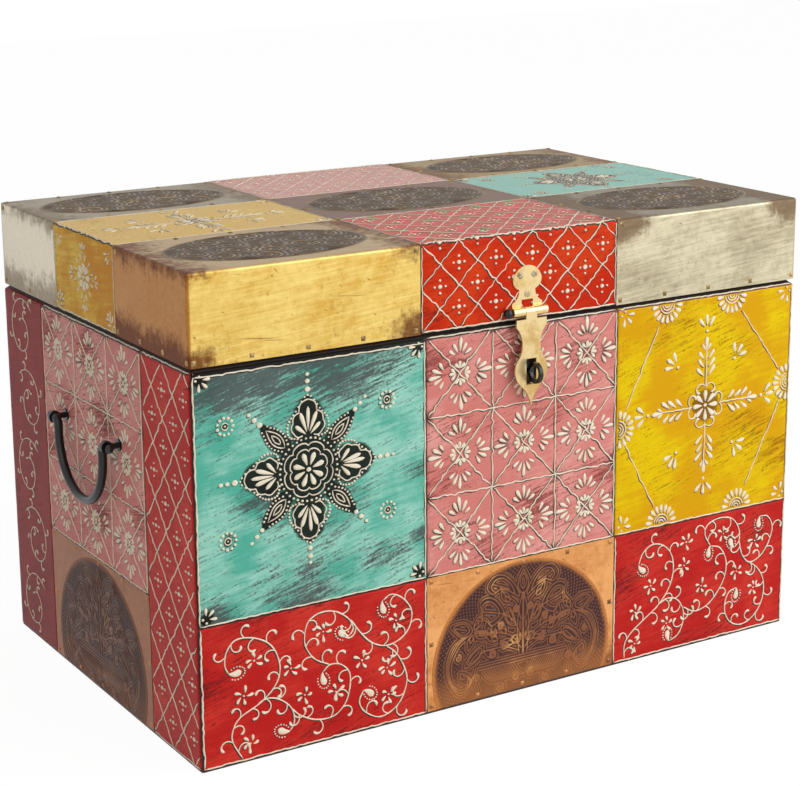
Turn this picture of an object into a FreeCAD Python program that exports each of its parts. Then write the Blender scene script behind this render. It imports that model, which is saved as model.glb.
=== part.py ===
import FreeCAD, Part
import os
import re
import Sketcher

# A painted wooden storage chest with metal-clad patches, a hinged lid, a hasp and two bail handles.
# The origin is the middle of the base, +X to the right, +Y to the back, +Z up, millimetres.

# Driving sizes
SIZES = {
    # Carcass
    "chest_width": 600,
    "chest_depth": 380,
    "chest_height": 400,
    "lid_height": 73,
    "seam_gap": 0.5,
    "wall_thick": 15,
    "rebate_depth": 7.5,
    "floor_thick": 12,
    "lid_top_thick": 12,
    "edge_radius": 2,
    "band_chamfer": 5,
    # Metal patches
    "sheet_thick": 0.6,
    "sheet_lift": 2,
    "left_column": 209,
    "middle_column": 193,
    "dado_height": 120,
    "side_strip": 88,
    "lid_left_column": 204,
    "lid_middle_column": 196,
    "lid_front_row": 132,
    "lid_middle_row": 124,
    "sheet_back_margin": 4,
    # Sheet pins
    "pin_head_radius": 2,
    "pin_head_rise": 1,
    "pin_shank_radius": 0.8,
    "pin_tip_radius": 0.4,
    "pin_length": 8,
    "pin_inset": 4,
    "pin_pitch": 48,
    # Screws
    "screw_head_radius": 3,
    "screw_crown_radius": 1.8,
    "screw_head_rise": 1.2,
    "screw_shank_radius": 1.5,
    "screw_length": 10,
    "screw_point": 3,
    "screw_clearance": 0.1,
    # Back hinges
    "hinge_offset": 170,
    "hinge_length": 60,
    "hinge_leaf_height": 30,
    "hinge_leaf_thick": 1.8,
    "hinge_barrel_radius": 3.25,
    "hinge_knuckle_length": 20,
    "hinge_screw_spread": 22,
    "hinge_screw_rise": 12,
    "hinge_screw_step": 9,
    "hinge_pin_radius": 1.5,
    # Shared running fits
    "run_clearance": 0.05,
    "knuckle_gap": 0.3,
    "barrel_standoff": 0.3,
    "barrel_relief": 0.5,
    # Hasp
    "hasp_offset": 7,
    "hasp_axis_rise": 7.5,
    "hasp_thick": 1.6,
    "hasp_barrel_radius": 4,
    "hasp_barrel_length": 33.6,
    "hasp_knuckle_length": 11.4,
    "hasp_pin_radius": 1.5,
    "hasp_pin_head_radius": 4,
    "leaf_shoulder": 15,
    "leaf_shoulder_rise": 7,
    "leaf_neck": 8,
    "leaf_neck_rise": 18,
    "leaf_head": 14.3,
    "leaf_head_rise": 27,
    "leaf_top_rise": 38,
    "leaf_notch_rise": 9.5,
    "leaf_screw_spread": 7,
    "leaf_screw_rise": 30,
    "leaf_lower_screw_rise": 14,
    "strap_relief": 1.8,
    "strap_shoulder": 15,
    "strap_shoulder_drop": 12,
    "strap_waist": 9,
    "strap_waist_drop": 28,
    "strap_cusp": 13,
    "strap_cusp_drop": 39.5,
    "strap_belly": 16,
    "strap_belly_drop": 50.3,
    "strap_hip": 11,
    "strap_hip_drop": 61,
    "strap_length": 80,
    "slot_width": 10,
    "slot_height": 22,
    # Staple eye
    "staple_reach": 14.4,
    "staple_outer_radius": 9,
    "staple_hole_radius": 5.75,
    "staple_thick": 3,
    "staple_plate_radius": 12,
    # Studs and nuts of the eyes
    "stud_radius": 2.5,
    "stud_clearance": 0.1,
    "stud_tail": 6,
    "collar_radius": 5,
    "collar_thick": 2,
    "nut_width": 10,
    "nut_thick": 4,
    # Bail handles
    "handle_rise": 235,
    "handle_span": 110,
    "handle_standoff": 12,
    "rod_radius": 3.8,
    "pivot_radius": 2.6,
    "bail_bend": 6,
    "bail_leg": 6,
    "bail_head_radius": 3.6,
    "bail_side_play": 0.8,
    "eye_half_thick": 2,
    "eye_wall": 2.4,
    "eye_clearance": 0.3,
}

# Places worked out from the driving sizes
HALF_WIDTH = "(chest_width / 2)"
HALF_DEPTH = "(chest_depth / 2)"
BODY_TOP = "(chest_height - lid_height - seam_gap)"
LID_FLOOR = "(chest_height - lid_height)"
LID_CEILING = "(chest_height - lid_top_thick)"
INNER_X = f"({HALF_WIDTH} - wall_thick)"
INNER_Y = f"({HALF_DEPTH} - wall_thick)"
SEAT_X = f"({INNER_X} + rebate_depth)"
SEAT_Y = f"({INNER_Y} + rebate_depth)"
LID_LEFT_LINE = f"(lid_left_column - {HALF_WIDTH})"
LID_RIGHT_LINE = f"({LID_LEFT_LINE} + lid_middle_column)"
LID_FRONT_LINE = f"(lid_front_row - {HALF_DEPTH})"
LID_BACK_LINE = f"({LID_FRONT_LINE} + lid_middle_row)"
LID_SHEET_END = f"({HALF_DEPTH} - sheet_back_margin)"
HINGE_AXIS_Z = f"({LID_FLOOR} - seam_gap / 2)"
HINGE_AXIS_OUT = "(barrel_standoff + hinge_barrel_radius)"
HASP_AXIS_Z = f"({LID_FLOOR} + hasp_axis_rise)"
HASP_AXIS_OUT = "(barrel_standoff + hasp_barrel_radius)"
STAPLE_Z = f"({HASP_AXIS_Z} - strap_belly_drop)"
STUD_HOLE = "(stud_radius + stud_clearance)"
STUD_END = "(wall_thick + stud_tail)"
BAIL_TURN = "(handle_span / 2 - eye_half_thick - bail_side_play)"
BAIL_BOW = f"({BAIL_TURN} - bail_bend)"
BAIL_LEG_END = "(bail_bend + bail_leg)"
BAIL_HEAD = "(handle_span / 2 + eye_half_thick + bail_side_play + bail_head_radius)"

LEFT, RIGHT = -1, 1
FRONT, BACK = -1, 1

doc = FreeCAD.newDocument("storage_chest")
sheet = doc.addObject("Spreadsheet::Sheet", "sizes")
for row, (alias, size) in enumerate(SIZES.items(), start=1):
    sheet.set(f"A{row}", alias)
    sheet.set(f"B{row}", str(size))
    sheet.setAlias(f"B{row}", alias)
doc.recompute()

ALIASES = re.compile(r"\b(" + "|".join(SIZES) + r")\b")
pieces = []


def tied(text):
    """An expression with each size's name turned into its cell in the sheet."""
    return ALIASES.sub(r"sizes.\1", str(text))


def measure(text):
    """The number that an expression of sizes gives now."""
    return float(doc.sizes.evalExpression(tied(text)))


def bind(item, **expressions):
    """Ties properties of an object to expressions; a double underscore stands for a dot."""
    for name, text in expressions.items():
        item.setExpression(name.replace("__", "."), tied(text))
    return item


def place(item, x, y, z):
    """Ties an object's position."""
    return bind(item, Placement__Base__x=x, Placement__Base__y=y, Placement__Base__z=z)


def minus(text):
    """The same distance on the other side of the middle plane."""
    return f"(-({text}))"


def span(side, near, far):
    """The low and high ends of a stretch between two distances from the middle plane."""
    return (near, far) if side > 0 else (minus(far), minus(near))


def piece(label, item):
    """Names an object as a finished sub-part."""
    item.Label = label
    pieces.append(item)
    return item


# Blocks, rods and booleans

def block(name, x, y, z):
    """A block between three pairs of low and high expressions."""
    item = doc.addObject("Part::Box", name)
    bind(item, Length=f"{x[1]} - {x[0]}", Width=f"{y[1]} - {y[0]}", Height=f"{z[1]} - {z[0]}")
    return place(item, x[0], y[0], z[0])


TURNS = {
    "+X": FreeCAD.Rotation(FreeCAD.Vector(0, 1, 0), 90),
    "-X": FreeCAD.Rotation(FreeCAD.Vector(0, 1, 0), -90),
    "+Y": FreeCAD.Rotation(FreeCAD.Vector(1, 0, 0), -90),
    "-Y": FreeCAD.Rotation(FreeCAD.Vector(1, 0, 0), 90),
    "+Z": FreeCAD.Rotation(),
}


def rod(name, start, towards, radius, length):
    """A cylinder from a start point along one of the axes."""
    item = doc.addObject("Part::Cylinder", name)
    bind(item, Radius=radius, Height=length)
    item.Placement.Rotation = TURNS[towards]
    return place(item, *start)


def ball(name, centre, radius):
    """A round head; its seam is turned to -X, where no rod leaves it."""
    item = doc.addObject("Part::Sphere", name)
    bind(item, Radius=radius)
    item.Placement.Rotation = FreeCAD.Rotation(FreeCAD.Vector(0, 0, 1), 180)
    return place(item, *centre)


def tapered_block(name, low_radius, high_radius, low, high):
    """A square block about the Z axis whose half-width changes from its low end to its high end."""
    item = doc.addObject("Part::Wedge", name)
    bind(item, Xmin=minus(low_radius), Xmax=low_radius, Zmin=minus(low_radius), Zmax=low_radius,
         X2min=minus(high_radius), X2max=high_radius, Z2min=minus(high_radius), Z2max=high_radius,
         Ymin=low, Ymax=high)
    item.Placement.Rotation = FreeCAD.Rotation(FreeCAD.Vector(1, 0, 0), 90)
    return item


def fuse(name, *items):
    """One solid of several."""
    item = doc.addObject("Part::MultiFuse", name)
    item.Shapes = list(items)
    item.Refine = True
    return item


def cut(name, base, *tools):
    """A solid with others taken out of it."""
    item = doc.addObject("Part::Cut", name)
    item.Base = base
    item.Tool = tools[0] if len(tools) == 1 else fuse(f"{name}_tools", *tools)
    return item


def common(name, first, second):
    """What two solids share."""
    item = doc.addObject("Part::Common", name)
    item.Base = first
    item.Tool = second
    return item


def edge_numbers(shape, test):
    """The numbers, from 1, of the edges whose bounding boxes pass a test."""
    return [number for number, edge in enumerate(shape.Edges, start=1) if test(edge.BoundBox)]


def is_upright(box):
    """True for a straight vertical edge."""
    return box.ZLength > 1 and box.XLength + box.YLength < 1e-6


def soften(kind, name, base, size, test):
    """A Part::Fillet or Part::Chamfer of one size on the edges that pass a test."""
    doc.recompute()
    amount = measure(size)
    item = doc.addObject(kind, name)
    item.Base = base
    item.Edges = [(number, amount, amount) for number in edge_numbers(base.Shape, test)]
    return item


# Sketched bodies

def new_body(name, x, y, z, turned=False):
    """An empty body at a place; turned faces it to the back."""
    body = doc.addObject("PartDesign::Body", name)
    if turned:
        body.Placement.Rotation = FreeCAD.Rotation(FreeCAD.Vector(0, 0, 1), 180)
    return place(body, x, y, z)


def new_sketch(body, role, lift="0"):
    """An empty sketch on one of a body's own planes, lifted along the plane's normal."""
    sketch = body.newObject("Sketcher::SketchObject", f"{body.Name}_sketch")
    plane = next(feature for feature in body.Origin.OriginFeatures if feature.Role == role)
    sketch.AttachmentSupport = (plane, [""])
    sketch.MapMode = "FlatFace"
    return bind(sketch, AttachmentOffset__Base__z=lift)


def pin_point(sketch, geometry, position, x, y):
    """Ties a sketch point's distances from the sketch's origin."""
    for kind, text in (("DistanceX", x), ("DistanceY", y)):
        index = sketch.addConstraint(
            Sketcher.Constraint(kind, -1, 1, geometry, position, measure(text)))
        sketch.setExpression(f"Constraints[{index}]", tied(text))


def draw(sketch, corners):
    """Joins corners (x, y) by lines; a third item of a corner is a point that the side after it bows through."""
    def vector(x, y):
        return FreeCAD.Vector(measure(x), measure(y), 0)

    count = len(corners)
    ends = []
    for index in range(count):
        corner = corners[index]
        start = vector(*corner[:2])
        finish = vector(*corners[(index + 1) % count][:2])
        if len(corner) == 2:
            side = sketch.addGeometry(Part.LineSegment(start, finish), False)
        else:
            via = vector(*corner[2])
            side = sketch.addGeometry(Part.Arc(start, via, finish), False)
        first = 1 if sketch.getPoint(side, 1).distanceToPoint(start) < 1e-6 else 2
        ends.append((side, first, 3 - first))
        pin_point(sketch, side, first, *corner[:2])
        if len(corner) == 3:
            mark = sketch.addGeometry(Part.Point(via), True)
            pin_point(sketch, mark, 1, *corner[2])
            sketch.addConstraint(Sketcher.Constraint("PointOnObject", mark, 1, side))
    for before, after in zip(ends, ends[1:] + ends[:1]):
        sketch.addConstraint(Sketcher.Constraint("Coincident", before[0], before[2], after[0], after[1]))
    return sketch


def draw_circle(sketch, x, y, radius):
    """A circle whose centre and radius are tied."""
    centre = FreeCAD.Vector(measure(x), measure(y), 0)
    circle = sketch.addGeometry(
        Part.Circle(centre, FreeCAD.Vector(0, 0, 1), measure(radius)), False)
    pin_point(sketch, circle, 3, x, y)
    index = sketch.addConstraint(Sketcher.Constraint("Radius", circle, measure(radius)))
    sketch.setExpression(f"Constraints[{index}]", tied(radius))
    return sketch


def mirrored(corners):
    """A right-hand run of corners, from top to bottom, closed by its mirror image.

    A corner may carry the point that the side below it bows through.
    """
    left = []
    for index in range(len(corners) - 1, -1, -1):
        x, y = corners[index][:2]
        above = corners[index - 1] if index else ()
        bow = ((minus(above[2][0]), above[2][1]),) if len(above) == 3 else ()
        left.append((minus(x), y) + bow)
    return corners + left


def pad(body, sketch, length, both_ways=False):
    """Raises a sketch to a thickness."""
    item = body.newObject("PartDesign::Pad", f"{body.Name}_pad")
    item.Profile = sketch
    if both_ways:
        item.SideType = "Symmetric"
    return bind(item, Length=length)


def pocket(body, sketch):
    """Cuts a sketch right through, both ways."""
    item = body.newObject("PartDesign::Pocket", f"{body.Name}_pocket")
    item.Profile = sketch
    item.SideType = "Symmetric"
    item.Type = "ThroughAll"
    return item


def turned_pin(name, half_profile):
    """A revolved fastener whose head stands on z = 0 and whose shank points down."""
    body = new_body(name, "0", "0", "0")
    sketch = draw(new_sketch(body, "XZ_Plane"), half_profile)
    item = body.newObject("PartDesign::Revolution", f"{name}_turn")
    item.Profile = sketch
    item.ReferenceAxis = (sketch, ["V_Axis"])
    item.Angle = 360
    doc.recompute()
    return body


def group(label, pattern, seats):
    """Copies of one solid, each set on a seat (x, y, z) and pointing along its outward direction."""
    shapes = []
    for x, y, z, outward in seats:
        copy = pattern.Shape.copy()
        copy.Placement = FreeCAD.Placement(
            FreeCAD.Vector(measure(x), measure(y), measure(z)), TURNS[outward])
        shapes.append(copy)
    item = doc.addObject("Part::Feature", label)
    item.Shape = Part.makeCompound(shapes)
    return piece(label, item)


# Outer forms that the boards are shaped to

chest_block = block("chest_block", (minus(HALF_WIDTH), HALF_WIDTH), (minus(HALF_DEPTH), HALF_DEPTH),
                    ("0", BODY_TOP))
chest_banded = soften("Part::Chamfer", "chest_banded", chest_block, "band_chamfer",
                      lambda box: box.ZMin > measure(BODY_TOP) - 1e-6)
chest_form = soften("Part::Fillet", "chest_form", chest_banded, "edge_radius",
                    lambda box: box.ZLength > 1)


def lid_shape(name, grow):
    """The lid's outer form with rounded upright and top edges, grown by a skin's thickness."""
    wide = f"({HALF_WIDTH} + {grow})"
    deep = f"({HALF_DEPTH} + {grow})"
    high = f"(chest_height + {grow})"
    core = block(f"{name}_block", (minus(wide), wide), (minus(deep), deep), (LID_FLOOR, high))
    return soften("Part::Fillet", name, core, f"edge_radius + {grow}",
                  lambda box: is_upright(box) or box.ZMin > measure(high) - 1e-6)


lid_form = lid_shape("lid_form", "0")
lid_skin = cut("lid_skin", lid_shape("lid_skin_form", "sheet_thick"), lid_form)


# Boards

def long_board(name, side, low, high):
    """A front or back board, rebated at both ends for the side boards."""
    board = block(f"{name}_blank", (minus(HALF_WIDTH), HALF_WIDTH),
                  span(side, INNER_Y, HALF_DEPTH), (low, high))
    rebates = [
        block(f"{name}_rebate", span(end, INNER_X, HALF_WIDTH), span(side, INNER_Y, SEAT_Y), (low, high))
        for end in (LEFT, RIGHT)
    ]
    return cut(f"{name}_rebated", board, *rebates)


def short_board(name, side, low, high):
    """A side board whose ends sit in the rebates of the front and back boards."""
    return block(f"{name}_blank", span(side, INNER_X, HALF_WIDTH), (minus(SEAT_Y), SEAT_Y), (low, high))


def make_carcass():
    """The four walls and the floor board let into their lower edges."""
    floor = block("bottom_board", (minus(SEAT_X), SEAT_X), (minus(SEAT_Y), SEAT_Y), ("0", "floor_thick"))
    piece("bottom_board", floor)
    staple_hole = rod("staple_hole", ("hasp_offset", minus(HALF_DEPTH), STAPLE_Z), "+Y",
                      STUD_HOLE, "wall_thick")
    for name, side, holes in (("front_board", FRONT, [staple_hole]), ("back_board", BACK, [])):
        board = common(f"{name}_shaped", long_board(name, side, "0", BODY_TOP), chest_form)
        piece(name, cut(name, board, floor, *holes))
    for name, side in (("left_board", LEFT), ("right_board", RIGHT)):
        board = common(f"{name}_shaped", short_board(name, side, "0", BODY_TOP), chest_form)
        holes = [
            rod(f"{name}_hole", (span(side, INNER_X, HALF_WIDTH)[0], minus(y) if end < 0 else y, "handle_rise"),
                "+X", STUD_HOLE, "wall_thick")
            for end, y in ((FRONT, "(handle_span / 2)"), (BACK, "(handle_span / 2)"))
        ]
        piece(name, cut(name, board, floor, *holes))


def make_lid():
    """The four rails and the top board laid over them."""
    top = block("lid_top_blank", (minus(HALF_WIDTH), HALF_WIDTH), (minus(HALF_DEPTH), HALF_DEPTH),
                (LID_CEILING, "chest_height"))
    piece("lid_top_board", common("lid_top_board", top, lid_form))
    for name, side in (("lid_front_rail", FRONT), ("lid_back_rail", BACK)):
        piece(name, common(name, long_board(name, side, LID_FLOOR, LID_CEILING), lid_form))
    for name, side in (("lid_left_rail", LEFT), ("lid_right_rail", RIGHT)):
        piece(name, common(name, short_board(name, side, LID_FLOOR, LID_CEILING), lid_form))


# Metal sheets

CHEST_SHEET_X = (f"(left_column - {HALF_WIDTH})", f"(left_column + middle_column - {HALF_WIDTH})")
CHEST_SHEET_Z = ("sheet_lift", "dado_height")
SIDE_SHEET_Y = (f"(side_strip - {HALF_DEPTH})", f"({HALF_DEPTH} - side_strip)")
LID_SHEET_X = {
    LEFT: (f"(-{HALF_WIDTH} - sheet_thick)", LID_LEFT_LINE),
    RIGHT: (LID_RIGHT_LINE, f"({HALF_WIDTH} + sheet_thick)"),
}
LID_SHEET_Y = {
    FRONT: (f"(-{HALF_DEPTH} - sheet_thick)", LID_FRONT_LINE),
    BACK: (LID_BACK_LINE, LID_SHEET_END),
}
LID_SHEETS = {
    "brass_sheet_front_left": (LEFT, FRONT),
    "silver_sheet_front_right": (RIGHT, FRONT),
    "silver_sheet_back_left": (LEFT, BACK),
    "brass_sheet_back_right": (RIGHT, BACK),
}


def make_sheets():
    """Flat copper sheets on the walls and the lid, and four corner sheets folded over the lid's edges."""
    front = (f"(-{HALF_DEPTH} - sheet_thick)", minus(HALF_DEPTH))
    piece("copper_sheet_front", block("copper_sheet_front", CHEST_SHEET_X, front, CHEST_SHEET_Z))
    for name, side in (("copper_sheet_left", LEFT), ("copper_sheet_right", RIGHT)):
        wall = span(side, HALF_WIDTH, f"({HALF_WIDTH} + sheet_thick)")
        piece(name, block(name, wall, SIDE_SHEET_Y, CHEST_SHEET_Z))
    piece("copper_sheet_top", block("copper_sheet_top", (LID_LEFT_LINE, LID_RIGHT_LINE),
                                    (LID_FRONT_LINE, LID_BACK_LINE),
                                    ("chest_height", "(chest_height + sheet_thick)")))
    for name, (side, end) in LID_SHEETS.items():
        patch = block(f"{name}_patch", LID_SHEET_X[side], LID_SHEET_Y[end],
                      (LID_FLOOR, "(chest_height + sheet_thick)"))
        piece(name, common(name, lid_skin, patch))


def stations(low, high):
    """Evenly spaced places between two ends, a whole number of steps near the pitch apart."""
    length = measure(f"{high} - {low}")
    steps = max(1, round(length / measure("pin_pitch")))
    return [f"({low} + ({high} - {low}) * {step} / {steps})" for step in range(steps + 1)]


def edge_run(u, v, sides):
    """Pin places along the chosen sides of a rectangle, drawn in by the inset; no corner comes twice."""
    low_u, high_u = f"({u[0]} + pin_inset)", f"({u[1]} - pin_inset)"
    low_v, high_v = f"({v[0]} + pin_inset)", f"({v[1]} - pin_inset)"
    runs = {
        "low_u": [(low_u, place_v) for place_v in stations(low_v, high_v)],
        "high_u": [(high_u, place_v) for place_v in stations(low_v, high_v)],
        "low_v": [(place_u, low_v) for place_u in stations(low_u, high_u)],
        "high_v": [(place_u, high_v) for place_u in stations(low_u, high_u)],
    }
    found = {}
    for side in sides:
        for u_text, v_text in runs[side]:
            found[(round(measure(u_text), 3), round(measure(v_text), 3))] = (u_text, v_text)
    return list(found.values())


ALL_SIDES = ("low_u", "high_u", "low_v", "high_v")


def make_pins():
    """Small forged tacks with four-sided heads along the free edges of the sheets."""
    head = tapered_block("pin_head", "pin_head_radius", "pin_tip_radius", "0", "pin_head_rise")
    shank = tapered_block("pin_shank", "pin_tip_radius", "pin_shank_radius", "(-pin_length)", "0")
    pattern = fuse("sheet_pin", head, shank)
    doc.recompute()
    skin_y = f"(-{HALF_DEPTH} - sheet_thick)"
    seats = [(x, skin_y, z, "-Y") for x, z in edge_run(CHEST_SHEET_X, CHEST_SHEET_Z, ALL_SIDES)]
    for side, outward in ((LEFT, "-X"), (RIGHT, "+X")):
        skin_x = f"({side} * ({HALF_WIDTH} + sheet_thick))"
        seats += [(skin_x, y, z, outward) for y, z in edge_run(SIDE_SHEET_Y, CHEST_SHEET_Z, ALL_SIDES)]
    group("chest_sheet_pins", pattern, seats)

    skin_z = "(chest_height + sheet_thick)"
    lid_wall = (LID_FLOOR, "chest_height")
    seats = [(x, y, skin_z, "+Z") for x, y in
             edge_run((LID_LEFT_LINE, LID_RIGHT_LINE), (LID_FRONT_LINE, LID_BACK_LINE), ALL_SIDES)]
    for side, end in LID_SHEETS.values():
        x, y = LID_SHEET_X[side], LID_SHEET_Y[end]
        inner_u = "high_u" if side == LEFT else "low_u"
        inner_v = "high_v" if end == FRONT else "low_v"
        back_edge = ("high_v",) if end == BACK else ()
        seats += [(px, py, skin_z, "+Z") for px, py in edge_run(x, y, (inner_u, inner_v) + back_edge)]
        skin_x = f"({side} * ({HALF_WIDTH} + sheet_thick))"
        outward = "-X" if side == LEFT else "+X"
        free_u = "high_u" if end == FRONT else "low_u"
        back_u = ("high_u",) if end == BACK else ()
        seats += [(skin_x, py, pz, outward) for py, pz in edge_run(y, lid_wall, ("low_v", free_u) + back_u)]
        if end == FRONT:
            seats += [(px, skin_y, pz, "-Y") for px, pz in edge_run(x, lid_wall, ("low_v", inner_u))]
    group("lid_sheet_pins", pattern, seats)


# Hinges

def barrel(body, out, radius, length):
    """A knuckle barrel along the body's X axis, standing out from its face."""
    return pad(body, draw_circle(new_sketch(body, "YZ_Plane"), minus(out), "0", radius), length, True)


def pin_bore(body, out, radius):
    """The barrel's bore with its running clearance."""
    pocket(body, draw_circle(new_sketch(body, "YZ_Plane"), minus(out), "0", f"({radius} + run_clearance)"))


def screw_holes(body, places):
    """Clearance holes for a leaf's screws."""
    for x, z in places:
        pocket(body, draw_circle(new_sketch(body, "XZ_Plane"), x, z, "(screw_shank_radius + screw_clearance)"))


def hinge_screw_places(up):
    """Three screw places in a leaf, the middle one further from the barrel; up is 1 on the lid."""
    near = f"({up} * hinge_screw_rise)"
    far = f"({up} * (hinge_screw_rise + hinge_screw_step))"
    return [("(-hinge_screw_spread)", near), ("hinge_screw_spread", near), ("0", far)]


def hinge_leaf(name, x, up):
    """A leaf with its own knuckles: the middle one on the lid, the outer two on the chest."""
    body = new_body(name, x, HALF_DEPTH, HINGE_AXIS_Z, turned=True)
    half = "(hinge_length / 2)"
    tongue = f"(hinge_knuckle_length / 2 - {up} * knuckle_gap / 2)"
    relief = f"({up} * (hinge_barrel_radius + barrel_relief))"
    edge = f"({up} * hinge_leaf_height)"
    middle, ends = ("0", relief) if up > 0 else (relief, "0")
    run = [(tongue, middle), (tongue, ends), (half, ends), (half, edge)]
    draw_leaf = draw(new_sketch(body, "XZ_Plane"), mirrored(run))
    pad(body, draw_leaf, "hinge_leaf_thick")
    if up > 0:
        barrel(body, HINGE_AXIS_OUT, "hinge_barrel_radius", f"(2 * {tongue})")
    else:
        barrel(body, HINGE_AXIS_OUT, "hinge_barrel_radius", "hinge_length")
        gap_top = "hinge_barrel_radius + barrel_relief"
        gap = [(tongue, gap_top), (tongue, relief), (minus(tongue), relief), (minus(tongue), gap_top)]
        pocket(body, draw(new_sketch(body, "XZ_Plane"), gap))
    pin_bore(body, HINGE_AXIS_OUT, "hinge_pin_radius")
    screw_holes(body, hinge_screw_places(up))
    piece(name, body)


def make_hinges(screw):
    """Two butt hinges on the back: a leaf on the lid, a leaf on the chest, a pin, and their screws."""
    centres = {"left": "(-hinge_offset)", "right": "hinge_offset"}
    for side, x in centres.items():
        hinge_leaf(f"{side}_hinge_chest_leaf", x, -1)
        hinge_leaf(f"{side}_hinge_lid_leaf", x, 1)
        start = (f"({x} - hinge_length / 2)", f"({HALF_DEPTH} + {HINGE_AXIS_OUT})", HINGE_AXIS_Z)
        piece(f"{side}_hinge_pin", rod(f"{side}_hinge_pin", start, "+X", "hinge_pin_radius", "hinge_length"))
    face = f"({HALF_DEPTH} + hinge_leaf_thick)"
    for label, up in (("hinge_chest_screws", -1), ("hinge_lid_screws", 1)):
        group(label, screw, [
            (f"({x} + {dx})", face, f"({HINGE_AXIS_Z} + {dz})", "+Y")
            for x in centres.values() for dx, dz in hinge_screw_places(up)
        ])


# Hasp and staple

LEAF_SCREWS = [
    ("(-leaf_screw_spread)", "leaf_screw_rise"),
    ("leaf_screw_spread", "leaf_screw_rise"),
    ("0", "leaf_lower_screw_rise"),
]
HASP_TONGUE = "(hasp_knuckle_length / 2 - knuckle_gap)"
HASP_NOTCH = "(hasp_knuckle_length / 2)"


def make_hasp(screw):
    """The leaf on the lid, its pin and screws, and the strap that swings on the pin."""
    leaf = new_body("hasp_leaf", "hasp_offset", minus(HALF_DEPTH), HASP_AXIS_Z)
    neck_bow = ("(leaf_neck + (leaf_shoulder - leaf_neck) * 0.22)",
                "(leaf_shoulder_rise + (leaf_neck_rise - leaf_shoulder_rise) * 0.42)")
    head_bow = ("(leaf_neck + (leaf_head - leaf_neck) * 0.8)",
                "(leaf_neck_rise + (leaf_head_rise - leaf_neck_rise) * 0.42)")
    outline = [
        ("leaf_shoulder", "0"),
        ("leaf_shoulder", "leaf_shoulder_rise", neck_bow),
        ("leaf_neck", "leaf_neck_rise", head_bow),
        ("leaf_head", "leaf_head_rise", ("0", "leaf_top_rise")),
        (minus("leaf_head"), "leaf_head_rise", (minus(head_bow[0]), head_bow[1])),
        (minus("leaf_neck"), "leaf_neck_rise", (minus(neck_bow[0]), neck_bow[1])),
        (minus("leaf_shoulder"), "leaf_shoulder_rise"),
        (minus("leaf_shoulder"), "0"),
    ]
    pad(leaf, draw(new_sketch(leaf, "XZ_Plane"), outline), "hasp_thick")
    barrel(leaf, HASP_AXIS_OUT, "hasp_barrel_radius", "hasp_barrel_length")
    below = "(-hasp_barrel_radius - barrel_relief)"
    notch = [(HASP_NOTCH, "leaf_notch_rise"), (HASP_NOTCH, below),
             (minus(HASP_NOTCH), below), (minus(HASP_NOTCH), "leaf_notch_rise")]
    pocket(leaf, draw(new_sketch(leaf, "XZ_Plane"), notch))
    pin_bore(leaf, HASP_AXIS_OUT, "hasp_pin_radius")
    screw_holes(leaf, LEAF_SCREWS)
    piece("hasp_leaf", leaf)

    axis_y = f"(-{HALF_DEPTH} - {HASP_AXIS_OUT})"
    strap = new_body("hasp_strap", "hasp_offset", axis_y, HASP_AXIS_Z)
    under = "(-hasp_barrel_radius - strap_relief)"
    waist_bow = ("(strap_waist + (strap_shoulder - strap_waist) * 0.24)",
                 "(-strap_shoulder_drop - (strap_waist_drop - strap_shoulder_drop) * 0.45)")
    cusp_bow = ("(strap_waist + (strap_cusp - strap_waist) * 0.28)",
                "(-strap_waist_drop - (strap_cusp_drop - strap_waist_drop) * 0.58)")
    tip_bow = ("(strap_hip * 0.38)", "(-strap_hip_drop - (strap_length - strap_hip_drop) * 0.42)")
    strap_run = [
        (HASP_TONGUE, "0"),
        (HASP_TONGUE, under),
        ("strap_shoulder", under),
        ("strap_shoulder", "(-strap_shoulder_drop)", waist_bow),
        ("strap_waist", "(-strap_waist_drop)", cusp_bow),
        ("strap_cusp", "(-strap_cusp_drop)", ("strap_belly", "(-strap_belly_drop)")),
        ("strap_hip", "(-strap_hip_drop)", tip_bow),
    ]
    tip = ("0", "(-strap_length)", (minus(tip_bow[0]), tip_bow[1]))
    left_run = mirrored(strap_run)[len(strap_run):]
    left_run[0] = left_run[0][:2] + ((minus("strap_belly"), "(-strap_belly_drop)"),)
    plate = new_sketch(strap, "XZ_Plane", "(hasp_barrel_radius - hasp_thick)")
    pad(strap, draw(plate, strap_run + [tip] + left_run), "hasp_thick")
    pad(strap, draw_circle(new_sketch(strap, "YZ_Plane"), "0", "0", "hasp_barrel_radius"),
        f"(2 * {HASP_TONGUE})", True)
    half_slot = "(slot_width / 2)"
    slot_top = "(slot_height / 2 - strap_belly_drop)"
    slot_low = "(-slot_height / 2 - strap_belly_drop)"
    slot = [(half_slot, slot_low), (half_slot, slot_top),
            (minus(half_slot), slot_top), (minus(half_slot), slot_low)]
    pocket(strap, draw(new_sketch(strap, "XZ_Plane"), slot))
    pin_bore(strap, "0", "hasp_pin_radius")
    piece("hasp_strap", strap)

    head_x = "(hasp_offset - hasp_barrel_length / 2 - hasp_pin_head_radius)"
    shank = rod("hasp_pin_shank", (head_x, axis_y, HASP_AXIS_Z), "+X", "hasp_pin_radius",
                "(hasp_barrel_length + hasp_pin_head_radius)")
    piece("hasp_pin", fuse("hasp_pin", shank, ball("hasp_pin_head", (head_x, axis_y, HASP_AXIS_Z),
                                                   "hasp_pin_head_radius")))
    face = f"(-{HALF_DEPTH} - hasp_thick)"
    group("hasp_screws", screw, [
        (f"(hasp_offset + {x})", face, f"({HASP_AXIS_Z} + {z})", "-Y") for x, z in LEAF_SCREWS
    ])


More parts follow.
